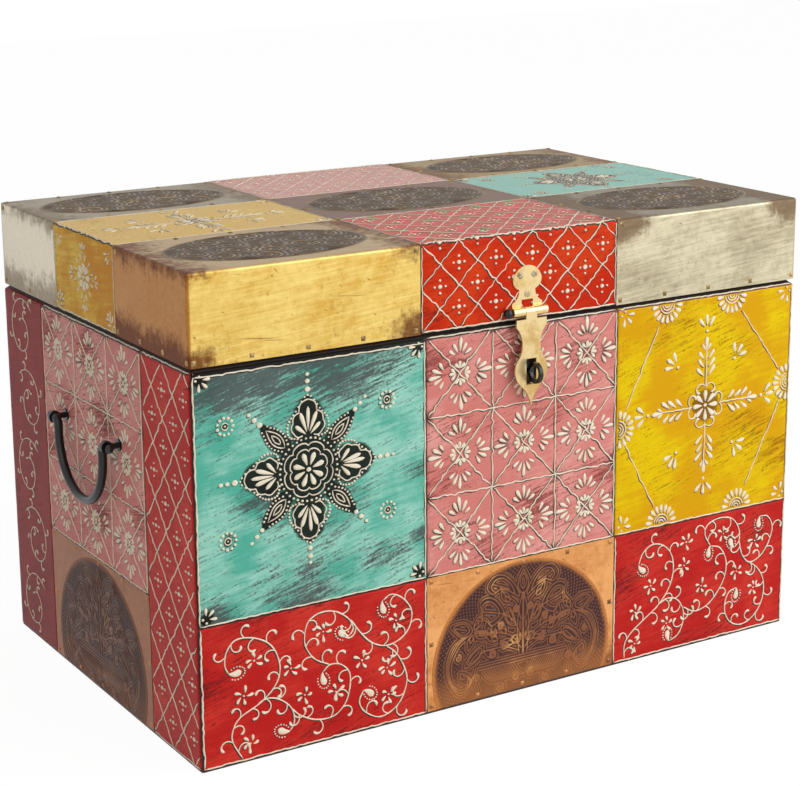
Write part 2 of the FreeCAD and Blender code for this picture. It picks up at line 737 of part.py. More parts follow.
def square_nut(name, towards, centre):
    """A square nut against the inside of a wall, bored for its stud; centre is on the wall's face."""
    half = "(nut_width / 2)"
    x, y, z = centre
    if towards == "+Y":
        body = block(f"{name}_blank", (f"({x} - {half})", f"({x} + {half})"), (y, f"({y} + nut_thick)"),
                     (f"({z} - {half})", f"({z} + {half})"))
    else:
        side = 1 if towards == "+X" else -1
        low, high = (x, f"({x} + nut_thick)") if side > 0 else (f"({x} - nut_thick)", x)
        body = block(f"{name}_blank", (low, high), (f"({y} - {half})", f"({y} + {half})"),
                     (f"({z} - {half})", f"({z} + {half})"))
    return cut(name, body, rod(f"{name}_bore", centre, towards, STUD_HOLE, "nut_thick"))


def make_staple():
    """The eye that passes through the strap's slot, with its stud, round back plate and nut."""
    ring_y = f"(-{HALF_DEPTH} - staple_reach)"
    low_x = "(hasp_offset - staple_thick / 2)"
    ring = rod("staple_ring", (low_x, ring_y, STAPLE_Z), "+X", "staple_outer_radius", "staple_thick")
    neck_y = f"({ring_y} + staple_hole_radius)"
    stud_length = f"(staple_reach - staple_hole_radius + {STUD_END})"
    stud = rod("staple_stud", ("hasp_offset", neck_y, STAPLE_Z), "+Y", "stud_radius", stud_length)
    plate = rod("staple_plate", ("hasp_offset", f"(-{HALF_DEPTH} - collar_thick)", STAPLE_Z), "+Y",
                "staple_plate_radius", "collar_thick")
    hole = rod("staple_eye_hole", ("(hasp_offset - collar_radius)", ring_y, STAPLE_Z), "+X",
               "staple_hole_radius", "(2 * collar_radius)")
    piece("staple_eye", cut("staple_eye", fuse("staple_solid", ring, stud, plate), hole))
    piece("staple_nut", square_nut("staple_nut", "+Y", ("hasp_offset", minus(INNER_Y), STAPLE_Z)))


# Handles

def handle_eye(name, side, y):
    """A ring eye on a collared stud through the side board."""
    centre = f"({side} * ({HALF_WIDTH} + handle_standoff))"
    ring_start = (centre, f"({y} - eye_half_thick)", "handle_rise")
    ring = rod(f"{name}_ring", ring_start, "+Y", "(pivot_radius + eye_clearance + eye_wall)",
               "(2 * eye_half_thick)")
    hole = rod(f"{name}_hole", ring_start, "+Y", "(pivot_radius + eye_clearance)", "(2 * eye_half_thick)")
    inward = "+X" if side == LEFT else "-X"
    neck = "(handle_standoff - pivot_radius - eye_clearance)"
    start = f"({side} * ({HALF_WIDTH} + {neck}))"
    length = f"({neck} + {STUD_END})"
    stud = rod(f"{name}_stud", (start, y, "handle_rise"), inward, "stud_radius", length)
    collar_start = f"({side} * ({HALF_WIDTH} + collar_thick))"
    collar = rod(f"{name}_collar", (collar_start, y, "handle_rise"), inward, "collar_radius", "collar_thick")
    piece(name, cut(name, fuse(f"{name}_solid", ring, stud, collar), hole))


DIRECTIONS = {
    "+Y": FreeCAD.Vector(0, 1, 0),
    "-Y": FreeCAD.Vector(0, -1, 0),
    "+Z": FreeCAD.Vector(0, 0, 1),
    "-Z": FreeCAD.Vector(0, 0, -1),
}


def bend(name, centre, sweep, radius, angle):
    """A bent stretch of rod about a centre, swept from one direction towards another."""
    first, second = (DIRECTIONS[word] for word in sweep)
    item = doc.addObject("Part::Torus", name)
    bind(item, Radius1=radius, Radius2="rod_radius")
    item.Angle3 = angle
    item.Placement.Rotation = FreeCAD.Rotation(first, second, first.cross(second), "XYZ")
    return place(item, *centre)


def bail(name, side):
    """A bail: a rod bent into a deep bow, with thinner ends turned outwards through the eyes and headed."""
    pivot = (f"({side} * ({HALF_WIDTH} + handle_standoff))", "0", "handle_rise")
    x, rise = pivot[0], pivot[2]
    bow_z = f"({rise} - {BAIL_LEG_END})"
    bend_z = f"({rise} - bail_bend)"
    parts = [
        bend(f"{name}_bow", (x, "0", bow_z), ("+Y", "-Z"), BAIL_BOW, 180),
        bend(f"{name}_back_bend", (x, BAIL_TURN, bend_z), ("+Z", "-Y"), "bail_bend", 90),
        bend(f"{name}_front_bend", (x, minus(BAIL_TURN), bend_z), ("+Y", "+Z"), "bail_bend", 90),
    ]
    for y, end_start in ((BAIL_BOW, BAIL_TURN), (minus(BAIL_BOW), minus(BAIL_HEAD))):
        parts.append(rod(f"{name}_leg", (x, y, bow_z), "+Z", "rod_radius", "bail_leg"))
        parts.append(rod(f"{name}_end", (x, end_start, rise), "+Y", "pivot_radius",
                         f"({BAIL_HEAD} - {BAIL_TURN})"))
    for end in (FRONT, BACK):
        parts.append(ball(f"{name}_head", (x, f"({end} * {BAIL_HEAD})", rise), "bail_head_radius"))
    piece(name, fuse(name, *parts))


def make_handles():
    """A bail, two eyes and two nuts on each side wall."""
    nuts = []
    for word, side in (("left", LEFT), ("right", RIGHT)):
        inward = "+X" if side == LEFT else "-X"
        for end, y in (("front", "(-handle_span / 2)"), ("back", "(handle_span / 2)")):
            handle_eye(f"{word}_handle_eye_{end}", side, y)
            nuts.append(square_nut(f"{word}_{end}_nut", inward, (f"({side} * {INNER_X})", y, "handle_rise")))
        bail(f"{word}_handle", side)
    item = doc.addObject("Part::Compound", "handle_nuts")
    item.Links = nuts
    piece("handle_nuts", item)


def make_screw():
    """The pattern of the round-headed screws."""
    return turned_pin("wood_screw", [
        ("0", "screw_head_rise"),
        ("screw_crown_radius", "screw_head_rise"),
        ("screw_head_radius", "0"),
        ("screw_shank_radius", "0"),
        ("screw_shank_radius", "(-screw_length + screw_point)"),
        ("0", "(-screw_length)"),
    ])


make_carcass()
make_lid()
make_sheets()
make_pins()
wood_screw = make_screw()
make_hinges(wood_screw)
make_hasp(wood_screw)
make_staple()
make_handles()
doc.recompute()

# Nothing is written unless every object and every sub-part is sound
faulty = [item.Name for item in doc.Objects if {"Invalid", "Error"} & set(item.State)]
faulty += [item.Label for item in pieces if item.Shape.isNull() or not item.Shape.isValid()]
if faulty:
    raise RuntimeError("failed objects: " + ", ".join(faulty))
os.makedirs("parts", exist_ok=True)
for item in pieces:
    item.Shape.exportStep(f"parts/{item.Label}.step")
    print(item.Label, len(item.Shape.Solids), round(item.Shape.Volume, 1))
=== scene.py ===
import logging
import math
from dataclasses import dataclass, field, replace
from enum import Enum
from itertools import product

import bpy
import numpy as np
from mathutils import Matrix, Vector


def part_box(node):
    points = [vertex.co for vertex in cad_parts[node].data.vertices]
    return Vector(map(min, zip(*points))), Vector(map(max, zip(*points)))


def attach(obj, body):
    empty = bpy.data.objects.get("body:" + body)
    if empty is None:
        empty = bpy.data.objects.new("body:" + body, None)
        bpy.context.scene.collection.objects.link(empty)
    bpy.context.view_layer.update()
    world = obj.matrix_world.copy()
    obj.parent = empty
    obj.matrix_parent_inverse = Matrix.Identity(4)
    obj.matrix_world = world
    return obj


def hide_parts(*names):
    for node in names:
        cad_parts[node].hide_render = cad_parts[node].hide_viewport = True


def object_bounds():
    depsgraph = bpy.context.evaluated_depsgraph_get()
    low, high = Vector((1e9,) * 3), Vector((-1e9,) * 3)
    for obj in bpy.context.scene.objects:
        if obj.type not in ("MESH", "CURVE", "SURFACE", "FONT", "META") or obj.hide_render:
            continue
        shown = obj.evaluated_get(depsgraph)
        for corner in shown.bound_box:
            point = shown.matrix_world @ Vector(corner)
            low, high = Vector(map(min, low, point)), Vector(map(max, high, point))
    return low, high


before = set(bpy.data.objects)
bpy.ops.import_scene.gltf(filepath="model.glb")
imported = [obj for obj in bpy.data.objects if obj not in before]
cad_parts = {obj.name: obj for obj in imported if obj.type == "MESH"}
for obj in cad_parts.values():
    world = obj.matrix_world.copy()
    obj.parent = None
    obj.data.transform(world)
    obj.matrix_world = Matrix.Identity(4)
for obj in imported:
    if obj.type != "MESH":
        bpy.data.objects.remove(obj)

logging.basicConfig(level=logging.INFO, format="%(message)s")
LOG = logging.getLogger("storage_chest")

CAD_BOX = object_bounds()
LID_TOP = CAD_BOX[1][2]
MM = 0.001
OUT_OF_REACH = 9.0
RIGHT_ANGLE = math.pi / 2


class Body(str, Enum):
    """The bodies that added pieces ride on."""

    CHEST = "chest"
    LID = "lid"


class Slot(str, Enum):
    """The record's material slots, which the medallions keep and by which the lid sheets' brushing is picked.
    """

    WOOD = "painted_wood"
    COPPER = "copper_sheet"
    BRASS = "brass_sheet"
    SILVER = "silver_sheet"
    HASP = "hasp_brass"


class Grain(Enum):
    """Which way the brush ran: the cycles of the streak noise along each axis, per metre."""

    ALONG_X = (20.0, 220.0, 220.0)
    ALONG_Y = (220.0, 20.0, 220.0)


def colour(code: str) -> tuple[float, float, float, float]:
    """Turns a written sRGB colour into linear light.

    Args:
        code: six hexadecimal digits after a hash sign.

    Returns:
        Red, green, blue and an alpha of one.
    """
    shares = [int(code[i:i + 2], 16) / 255 for i in (1, 3, 5)]
    linear = [s / 12.92 if s <= 0.04045 else ((s + 0.055) / 1.055) ** 2.4 for s in shares]
    return (*linear, 1.0)


# Shader maths


class Shade:
    """A value or colour inside a node tree, with operators that add Math nodes."""

    def __init__(self, nodes: "Nodes", socket: bpy.types.NodeSocket) -> None:
        """Keeps the socket and the tree it belongs to."""
        self.nodes = nodes
        self.socket = socket

    def _math(self, operation: str, first: "Shade | float", second: "Shade | float") -> "Shade":
        """Adds one Math node."""
        return self.nodes.node("ShaderNodeMath", {"operation": operation}, {0: first, 1: second})

    def __add__(self, other: "Shade | float") -> "Shade":
        """Sum, in either order."""
        return self._math("ADD", self, other)

    def __sub__(self, other: "Shade | float") -> "Shade":
        """Difference."""
        return self._math("SUBTRACT", self, other)

    def __rsub__(self, other: float) -> "Shade":
        """Difference from a number."""
        return self._math("SUBTRACT", other, self)

    def __mul__(self, other: "Shade | float") -> "Shade":
        """Product, in either order."""
        return self._math("MULTIPLY", self, other)

    __radd__ = __add__
    __rmul__ = __mul__

    def peak(self, other: "Shade | float") -> "Shade":
        """The larger of two values."""
        return self._math("MAXIMUM", self, other)

    def size(self) -> "Shade":
        """The value without its sign."""
        return self._math("ABSOLUTE", self, 0.0)

    def step(self, low: float, high: float) -> "Shade":
        """Eases from 0 at low to 1 at high; high may be the smaller of the two."""
        settings = {"interpolation_type": "SMOOTHSTEP"}
        inputs = {"Value": self, "From Min": low, "From Max": high}
        return self.nodes.node("ShaderNodeMapRange", settings, inputs)


class Nodes:
    """A node tree in the making."""

    def __init__(self, tree: bpy.types.NodeTree) -> None:
        """Keeps the tree."""
        self.tree = tree

    def node(self, kind: str, settings: dict | None = None, inputs: dict | None = None,
             output: int | str = 0) -> Shade:
        """Adds any node.

        Args:
            kind: the node's type.
            settings: attributes of the node, set first.
            inputs: socket names or numbers with their values or links.
            output: which output to give back.

        Returns:
            The chosen output.
        """
        made = self.tree.nodes.new(kind)
        for key, value in (settings or {}).items():
            setattr(made, key, value)
        for key, value in (inputs or {}).items():
            self.feed(made.inputs[key], value)
        return Shade(self, made.outputs[output])

    def feed(self, socket: bpy.types.NodeSocket, value: "Shade | float | tuple") -> None:
        """Links a socket to a shade, or sets its constant."""
        if isinstance(value, Shade):
            self.tree.links.new(value.socket, socket)
        else:
            socket.default_value = value

    def seen(self) -> Shade:
        """One for what the eye, a reflection or glass sees, zero for plain light."""
        kinds = ("Camera", "Glossy", "Transmission")
        camera, glossy, clear = (self.node("ShaderNodeLightPath", output=f"Is {kind} Ray") for kind in kinds)
        return camera.peak(glossy).peak(clear)


class Shader(Nodes):
    """One material in the making."""

    def __init__(self, name: str) -> None:
        """Starts a material with only its output and its main shader."""
        self.material = bpy.data.materials.new(name)
        self.material.use_nodes = True
        super().__init__(self.material.node_tree)
        self.main = self.tree.nodes["Principled BSDF"]

    def place(self, scale: tuple[float, float, float] = (1.0, 1.0, 1.0),
              shift: tuple[float, float, float] = (0.0, 0.0, 0.0),
              turn: tuple[float, float, float] | None = None) -> Shade:
        """Object coordinates in metres, turned if asked, then stretched and shifted."""
        where = self.node("ShaderNodeTexCoord", output="Object")
        if turn:
            where = self.node("ShaderNodeMapping", {}, {"Vector": where, "Rotation": turn})
        return self.node("ShaderNodeMapping", {}, {"Vector": where, "Scale": scale, "Location": shift})

    def axis(self, name: str) -> Shade:
        """One of the Object coordinates, X, Y or Z."""
        where = self.node("ShaderNodeTexCoord", output="Object")
        return self.node("ShaderNodeSeparateXYZ", {}, {0: where}, name)

    def near(self, name: str, place: float, reach: float) -> Shade:
        """One at a place along an axis, easing to zero a reach away on both sides."""
        return (self.axis(name) - place).size().step(reach, 0.0)

    def lid_top(self) -> Shade:
        """One on the lid's top face, zero below its rounded edge."""
        return self.axis("Z").step(LID_TOP - 3 * MM, LID_TOP - MM)

    def noise(self, where: Shade, scale: float = 1.0, detail: float = 4.0, rough: float = 0.55,
              twist: float = 0.0) -> Shade:
        """Fractal noise from 0 to 1 around one half."""
        inputs = {"Vector": where, "Scale": scale, "Detail": detail, "Roughness": rough,
                  "Distortion": twist}
        return self.node("ShaderNodeTexNoise", {}, inputs, "Fac")

    def stir(self, where: Shade, scale: float = 1.0, detail: float = 4.0, rough: float = 0.55,
             twist: float = 0.0) -> Shade:
        """The same noise around zero."""
        return self.noise(where, scale, detail, rough, twist) - 0.5

    def value(self, name: str) -> Shade:
        """A number kept on the piece's own vertices."""
        return self.node("ShaderNodeAttribute", {"attribute_name": name}, {}, "Fac")

    def blend(self, share: Shade | float, low: "Shade | tuple", high: "Shade | tuple") -> Shade:
        """A colour between two colours."""
        return self.node("ShaderNodeMix", {"data_type": "RGBA"}, {0: share, 6: low, 7: high}, 2)

    def bump(self, height: Shade, strength: float, distance: float) -> None:
        """Roughens the main shader's normal by a height.

        Args:
            height: the height, from 0 to 1.
            strength: how much of it shows.
            distance: its real height in metres.
        """
        inputs = {"Height": height, "Strength": strength, "Distance": distance}
        self.feed(self.main.inputs["Normal"], self.node("ShaderNodeBump", {}, inputs))

    def close(self, **sockets: "Shade | float | tuple") -> bpy.types.Material:
        """Sets the main shader's sockets, underscores standing for spaces."""
        for key, value in sockets.items():
            self.feed(self.main.inputs[key.replace("_", " ")], value)
        return self.material


@dataclass(frozen=True)
class PaintFinish:
    """Thick paint rubbed back in streaks, dark round the ornament and along the rim, waxed and lightened by a
    painted sheen on the lid's top.
    """

    name: str
    base: str
    light: str
    scuff: str
    scuffing: float
    wash: str
    washing: float
    grain: Grain = Grain.ALONG_X

    def make(self) -> bpy.types.Material:
        """The wear attribute and two streak noises give the scuffs; the ground attribute gives the wash."""
        shader = Shader(f"{self.name}_{self.grain.name.lower()}")
        where = shader.place()
        fine_grain = tuple(3.0 * cycles for cycles in self.grain.value)
        tilt = (0.0, 0.13, 0.0) if self.grain is Grain.ALONG_X else (0.13, 0.0, 0.0)
        cross = tuple(2.2 * angle for angle in tilt)
        streak = shader.stir(shader.place(self.grain.value, turn=tilt), 1.0, 7.0, 0.68)
        brush = shader.stir(shader.place(fine_grain, (1.3, 0.4, 2.2), cross), 1.0, 3.0, 0.6)
        broad = shader.stir(where, 11.0, twist=0.3)
        cloud = shader.stir(shader.place(shift=(3.1, 1.7, 0.6)), 26.0, 5.0)
        speck = shader.stir(where, 430.0, 3.0)
        rim = shader.value("edge").step(0.4, 0.0)
        mottle = 0.7 * broad + 0.8 * cloud + 1.5 * streak + 1.9 * brush + 0.9 * speck
        worn = (shader.value("wear") + 0.14 * rim + mottle).step(0.28, 1.0)
        # On the lid's top the colour is pushed towards the light paint as a painted sheen; the same mask
        # gives the wax coat.
        wax_and_painted_sheen = shader.lid_top()
        light = (cloud + 0.8 * broad + 0.7 * streak).step(-0.16, 0.22).peak(0.7 * wax_and_painted_sheen)
        tone = shader.blend(light, colour(self.base), colour(self.light))
        tone = shader.blend(worn * self.scuffing, tone, colour(self.scuff))
        hair = (brush + 0.5 * cloud + 0.7 * speck).step(0.1, 0.3) * 0.6
        tone = shader.blend(hair * self.scuffing, tone, colour(self.scuff))
        grime = (shader.value("ground") + 0.2 * rim + 0.6 * cloud + 0.7 * streak).step(0.3, 0.7)
        tone = shader.blend(grime * self.washing, tone, colour(self.wash))
        shader.bump(0.6 * streak + 0.25 * brush + 0.15 * speck, 0.3, 0.0004)
        return shader.close(Base_Color=tone, Roughness=0.4 + 0.2 * worn - 0.04 * wax_and_painted_sheen,
                            Specular_IOR_Level=0.08, Coat_Weight=0.02 + 0.1 * wax_and_painted_sheen, Coat_Roughness=0.12)


@dataclass(frozen=True)
class PipedFinish:
    """The cream paste of the raised lines, browned a little by old wax."""

    name: str
    base: str
    dirt: str

    def make(self) -> bpy.types.Material:
        """Two noises, one of blotches and one of grains."""
        shader = Shader(self.name)
        where = shader.place()
        blotch = shader.noise(where, 45.0, 4.0)
        grain = shader.noise(where, 700.0, 2.0)
        share = (0.6 * blotch + 0.4 * grain).step(0.46, 0.72) * 0.5
        tone = shader.blend(share, colour(self.base), colour(self.dirt))
        shader.bump(grain, 0.3, 0.0002)
        return shader.close(Base_Color=tone, Roughness=0.42 + 0.2 * blotch, Specular_IOR_Level=0.3)


@dataclass(frozen=True)
class BoardFinish:
    """Dark stained wood, as it shows at the edges and inside the chest."""

    name: str
    base: str
    dark: str

    def make(self) -> bpy.types.Material:
        """Noise drawn out along X gives the grain."""
        shader = Shader(self.name)
        grain = shader.noise(shader.place((6.0, 90.0, 90.0)), 1.0, 6.0, 0.6, 0.5)
        broad = shader.noise(shader.place(), 9.0, 3.0)
        share = (0.7 * grain + 0.3 * broad).step(0.36, 0.64)
        tone = shader.blend(share, colour(self.dark), colour(self.base))
        shader.bump(grain, 0.3, 0.0005)
        return shader.close(Base_Color=tone, Roughness=0.62 - 0.2 * broad)


@dataclass(frozen=True)
class SheetFinish:
    """Thin sheet metal, mottled and scratched, with brown stains in its corners and along one edge."""

    name: str
    base: str
    dull: str
    rust: str
    rusting: float
    corner: tuple[float, float, float]
    brushing: float
    outer_x: float = OUT_OF_REACH
    # end is painted light and shade on the sheet's end face; top is a painted reflection on the lid's top.
    end: str = "#A8763C"
    top: str = "#A08C78"
    reach: float = 50 * MM

    def stain(self, shader: Shader, broad: Shade, fine: Shade) -> Shade:
        """Closeness to the sheet's edges and corners, broken up by drips and blotches."""
        blotch = shader.stir(shader.place((40.0, 85.0, 85.0), (0.3, 1.1, 0.7)), 1.0, 7.0, 0.7, 0.4)
        drip = shader.stir(shader.place((170.0, 170.0, 50.0), (0.9, 0.2, 1.6)), 1.0, 5.0, 0.65)
        near_x = shader.near("X", self.corner[0], self.reach)
        near_y = shader.near("Y", self.corner[1], self.reach)
        near_z = shader.near("Z", self.corner[2], self.reach * 0.7)
        near_top = shader.near("Z", LID_TOP, self.reach * 0.5)
        ends = near_x.peak(shader.near("X", self.outer_x, self.reach))
        edges = (0.16 + 0.72 * ends) * near_z + 0.6 * near_top * ends + 0.14 * near_y + 0.1 * near_x
        mottle = 0.7 * broad + 1.1 * blotch + 0.8 * drip + 0.9 * fine
        return (edges + mottle).step(0.22, 0.85) * self.rusting

    def make(self) -> bpy.types.Material:
        """Stains, scratches and brushing over the metal; its end face is tinted with painted light and shade
        and its top with a painted reflection.
        """
        shader = Shader(self.name)
        where = shader.place()
        broad = shader.stir(where, 15.0, 7.0, 0.62, 0.6)
        fine = shader.stir(where, 160.0, 6.0, 0.7)
        brushed = shader.stir(shader.place((22.0, 330.0, 330.0), turn=(0.0, 0.1, 0.0)), 1.0, 6.0, 0.7)
        across = shader.place((26.0, 420.0, 420.0), (2.0, 5.0, 1.0), (0.0, -0.7, 0.3))
        along = shader.place((14.0, 380.0, 380.0), (4.0, 1.0, 3.0), (0.0, -0.1, 0.0))
        scratch = shader.noise(across, detail=3.0).step(0.67, 0.74)
        scratch = scratch.peak(shader.noise(along, detail=3.0).step(0.67, 0.76))
        stain = self.stain(shader, broad, fine)
        share = (0.8 * broad + self.brushing * brushed + 0.5 * fine).step(-0.24, 0.34)
        tone = shader.blend(share, colour(self.base), colour(self.dull))
        # Painted light and shade: the end face is blended towards its own tint, darker for most sheets and
        # lighter for the back left silver.
        on_end = (shader.axis("X") - self.outer_x).size().step(3 * MM, MM)
        tone = shader.blend(0.8 * on_end, tone, colour(self.end))
        # Painted reflection: the lid's top is blended towards a greyer tint; the same mask gives the wax coat
        # and less metal.
        wax_and_painted_sheen = shader.lid_top()
        tone = shader.blend(0.65 * wax_and_painted_sheen, tone, colour(self.top))
        tone = shader.blend(0.6 * scratch + 0.4 * fine.step(0.13, 0.22), tone, colour(self.rust))
        tone = shader.blend(stain, tone, colour(self.rust))
        shader.bump(0.4 * broad + 0.4 * fine + 0.2 * brushed, 0.3, 0.0006)
        return shader.close(Base_Color=tone, Metallic=0.5 - 0.4 * stain - 0.4 * wax_and_painted_sheen,
                            Roughness=0.38 + 0.2 * brushed + 0.2 * stain + 0.08 * wax_and_painted_sheen,
                            Specular_IOR_Level=0.25, Coat_Weight=0.08 * wax_and_painted_sheen)


@dataclass(frozen=True)
class EmbossedFinish:
    """Beaten metal, dark in the hollows and bright on the raised lines, passing into the sheet at its rim."""

    name: str
    ground: str
    middle: str
    bright: str
    sheet: str

    def make(self) -> bpy.types.Material:
        """The relief attribute, stirred, picks between the colours; the fade attribute lets the sheet in."""
        shader = Shader(self.name)
        relief = shader.value("relief")
        mottle = shader.stir(shader.place(), 34.0, 5.0)
        tone = shader.blend((relief + 0.3 * mottle).step(0.1, 0.8), colour(self.ground), colour(self.middle))
        tone = shader.blend((relief + 1.7 * mottle).step(0.75, 1.25), tone, colour(self.bright))
        low = shader.axis("Z").step(50 * MM, 0.0)
        tone = shader.blend((0.9 * low + 0.8 * mottle).step(0.1, 1.0) * 0.45, tone, colour(self.sheet))
        fade = (shader.value("fade") + 0.3 * relief + 0.5 * mottle).step(0.7, 0.05)
        tone = shader.blend(fade, tone, colour(self.sheet))
        return shader.close(Base_Color=tone, Metallic=0.3, Roughness=0.46 - 0.1 * relief,
                            Specular_IOR_Level=0.2)


@dataclass(frozen=True)
class HardwareFinish:
    """Cast and turned hardware: brass, iron or steel, with handling marks."""

    name: str
    base: str
    dull: str
    metallic: float
    roughness: float
    lumps: float

    def make(self) -> bpy.types.Material:
        """Broad noise dulls it, fine noise gives the cast skin."""
        shader = Shader(self.name)
        where = shader.place()
        broad = shader.noise(where, 38.0, 4.0, 0.6, 0.5)
        fine = shader.noise(where, 380.0, 3.0)
        tone = shader.blend((0.8 * broad + 0.2 * fine).step(0.4, 0.64), colour(self.base), colour(self.dull))
        shader.bump(0.4 * fine + 0.6 * broad, self.lumps, 0.0006)
        return shader.close(Base_Color=tone, Metallic=self.metallic,
                            Roughness=self.roughness + 0.2 * (broad - 0.5))


FINISHES: dict[object, bpy.types.Material] = {}


def material_of(finish: object) -> bpy.types.Material:
    """Makes each finish once."""
    if finish not in FINISHES:
        FINISHES[finish] = finish.make()
    return FINISHES[finish]


TURQUOISE = PaintFinish("turquoise_paint", "#58BAA4", "#A2E0CE", "#4C4A4E", 0.88, "#17120F", 0.97)
PINK = PaintFinish("pink_paint", "#DE867E", "#F0A8A0", "#84302A", 0.8, "#4E1814", 0.85)
RED = PaintFinish("red_paint", "#C4221F", "#DC3C30", "#5A141A", 0.75, "#3A0A0E", 0.65)
ORANGE_RED = PaintFinish("orange_red_paint", "#CC2806", "#DE4012", "#5A120C", 0.75, "#300A06", 0.75)
YELLOW = PaintFinish("yellow_paint", "#E4AA00", "#F2D000", "#9A5606", 0.75, "#6A3404", 0.75)
OCHRE = PaintFinish("ochre_paint", "#E09600", "#FCD24E", "#7A480C", 0.6, "#4A2A0A", 0.7)
DARK_RED = PaintFinish("dark_red_paint", "#8C1A1E", "#A2302E", "#3E1014", 0.7, "#2E0A10", 0.5)
PIPING = PipedFinish("cream_piping", "#FAF1DA", "#DCCBA2")
# Dark outlines round the strokes: antiquing wash, shifted down and left as a painted shadow.
WASHES_AND_SHADOWS = {
    "dark": PipedFinish("dark_wash_and_shadow", "#20120F", "#3A1E18"),
    "brown": PipedFinish("brown_wash", "#6A3410", "#8A5214"),
}
BOARDS = BoardFinish("stained_boards", "#38231C", "#191110")
DOMES = EmbossedFinish("embossed_copper", "#44292A", "#8E5A3C", "#DCA866", "#CE8444")
# The front's embossed copper painted darker, as shade, for the ends.
END_DOMES_IN_PAINTED_SHADE = EmbossedFinish("embossed_copper_in_painted_shade", "#2E1206", "#64341A", "#905E34", "#80461C")
OVALS = EmbossedFinish("embossed_ovals", "#2A1802", "#6E5022", "#BE9A5C", "#8E7656")
BRASS = HardwareFinish("satin_brass", "#E8CF98", "#CBA767", 0.85, 0.3, 0.06)
IRON = HardwareFinish("black_iron_finish", "#0E0D10", "#1C191A", 0.2, 0.3, 0.25)
STEEL = HardwareFinish("dull_steel", "#8C8A86", "#5E5A55", 0.8, 0.42, 0.2)
SCREW_METAL = HardwareFinish("screw_metal", "#B9A988", "#6E5E42", 0.8, 0.35, 0.1)
CHEST_PINS = HardwareFinish("copper_pins", "#C08450", "#6A4020", 0.5, 0.5, 0.1)
LID_PINS = HardwareFinish("brass_pins", "#B89A60", "#5A4426", 0.5, 0.5, 0.1)


# Meshes


@dataclass
class Surface:
    """A mesh in the making: points in metres, quads, closing caps and numbers kept on its points."""

    points: np.ndarray
    quads: np.ndarray
    caps: np.ndarray | None = None
    values: dict[str, np.ndarray] = field(default_factory=dict)

    def to_mesh(self, name: str) -> bpy.types.Mesh:
        """Puts the arrays into a smooth-shaded mesh."""
        mesh = bpy.data.meshes.new(name)
        corners = self.quads.ravel()
        starts = np.arange(len(self.quads)) * 4
        if self.caps is not None:
            starts = np.concatenate([starts, len(corners) + np.arange(len(self.caps)) * self.caps.shape[1]])
            corners = np.concatenate([corners, self.caps.ravel()])
        mesh.vertices.add(len(self.points))
        mesh.loops.add(len(corners))
        mesh.polygons.add(len(starts))
        mesh.vertices.foreach_set("co", self.points.astype(np.float32).ravel())
        mesh.loops.foreach_set("vertex_index", corners.astype(np.int32))
        mesh.polygons.foreach_set("loop_start", starts.astype(np.int32))
        mesh.polygons.foreach_set("use_smooth", np.ones(len(starts), bool))
        mesh.update(calc_edges=True)
        for key, numbers in self.values.items():
            kept = mesh.attributes.new(key, "FLOAT", "POINT")
            kept.data.foreach_set("value", numbers.astype(np.float32).ravel())
        return mesh


def linked(name: str, data: bpy.types.ID) -> bpy.types.Object:
    """A new object in the scene."""
    made = bpy.data.objects.new(name, data)
    bpy.context.scene.collection.objects.link(made)
    return made


def add_piece(name: str, surface: Surface, finish: object, body: Body,
              stands_for: tuple[str, ...] = ()) -> None:
    """Adds one piece to the object.

    Args:
        name: the piece's name.
        surface: its mesh.
        finish: its finish.
        body: the body that it rides on.
        stands_for: CAD nodes that it replaces.
    """
    piece = linked(name, surface.to_mesh(name))
    piece.data.materials.append(material_of(finish))
    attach(piece, body.value)
    if stands_for:
        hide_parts(*stands_for)
    LOG.info("%s: %d quads", name, len(surface.quads))


def dress(finish: object, *nodes: str) -> None:
    """Gives CAD nodes a finish."""
    for node in nodes:
        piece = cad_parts[node]
        piece.data.materials.clear()
        piece.data.materials.append(material_of(finish))
        LOG.info("%s: dressed", node)


def weave(index: np.ndarray) -> np.ndarray:
    """Quads between the neighbouring rows and columns of a grid of point numbers."""
    corners = (index[:-1, :-1], index[1:, :-1], index[1:, 1:], index[:-1, 1:])
    return np.stack(corners, -1).reshape(-1, 4)


def closed_sheet(top: np.ndarray, bottom: np.ndarray) -> tuple[np.ndarray, np.ndarray]:
    """Joins two grids of points along their rims into one closed skin.

    Args:
        top: grid of points, rows along the first parameter; seen from outside it turns left.
        bottom: grid of the same shape; its rim is taken from the top.

    Returns:
        Points and quads.
    """
    rows, columns = top.shape[:2]
    upper = np.arange(rows * columns).reshape(rows, columns)
    lower = upper.copy()
    inner = (rows - 2) * (columns - 2)
    lower[1:-1, 1:-1] = rows * columns + np.arange(inner).reshape(rows - 2, columns - 2)
    points = np.concatenate([top.reshape(-1, 3), bottom[1:-1, 1:-1].reshape(-1, 3)])
    return points, np.concatenate([weave(upper), weave(lower)[:, ::-1]])


@dataclass(frozen=True)
class Face:
    """A flat side of the chest with its own ruler in millimetres: u to the right, v up, h outwards."""

    origin: tuple[float, float, float]
    along: tuple[float, float, float]
    up: tuple[float, float, float]

    def to_chest(self, ruled: np.ndarray) -> np.ndarray:
        """Adds u, v and h times the face's three directions to its origin, in metres."""
        basis = np.array([self.along, self.up, np.cross(self.along, self.up)])
        return (np.array(self.origin) + ruled @ basis) * MM


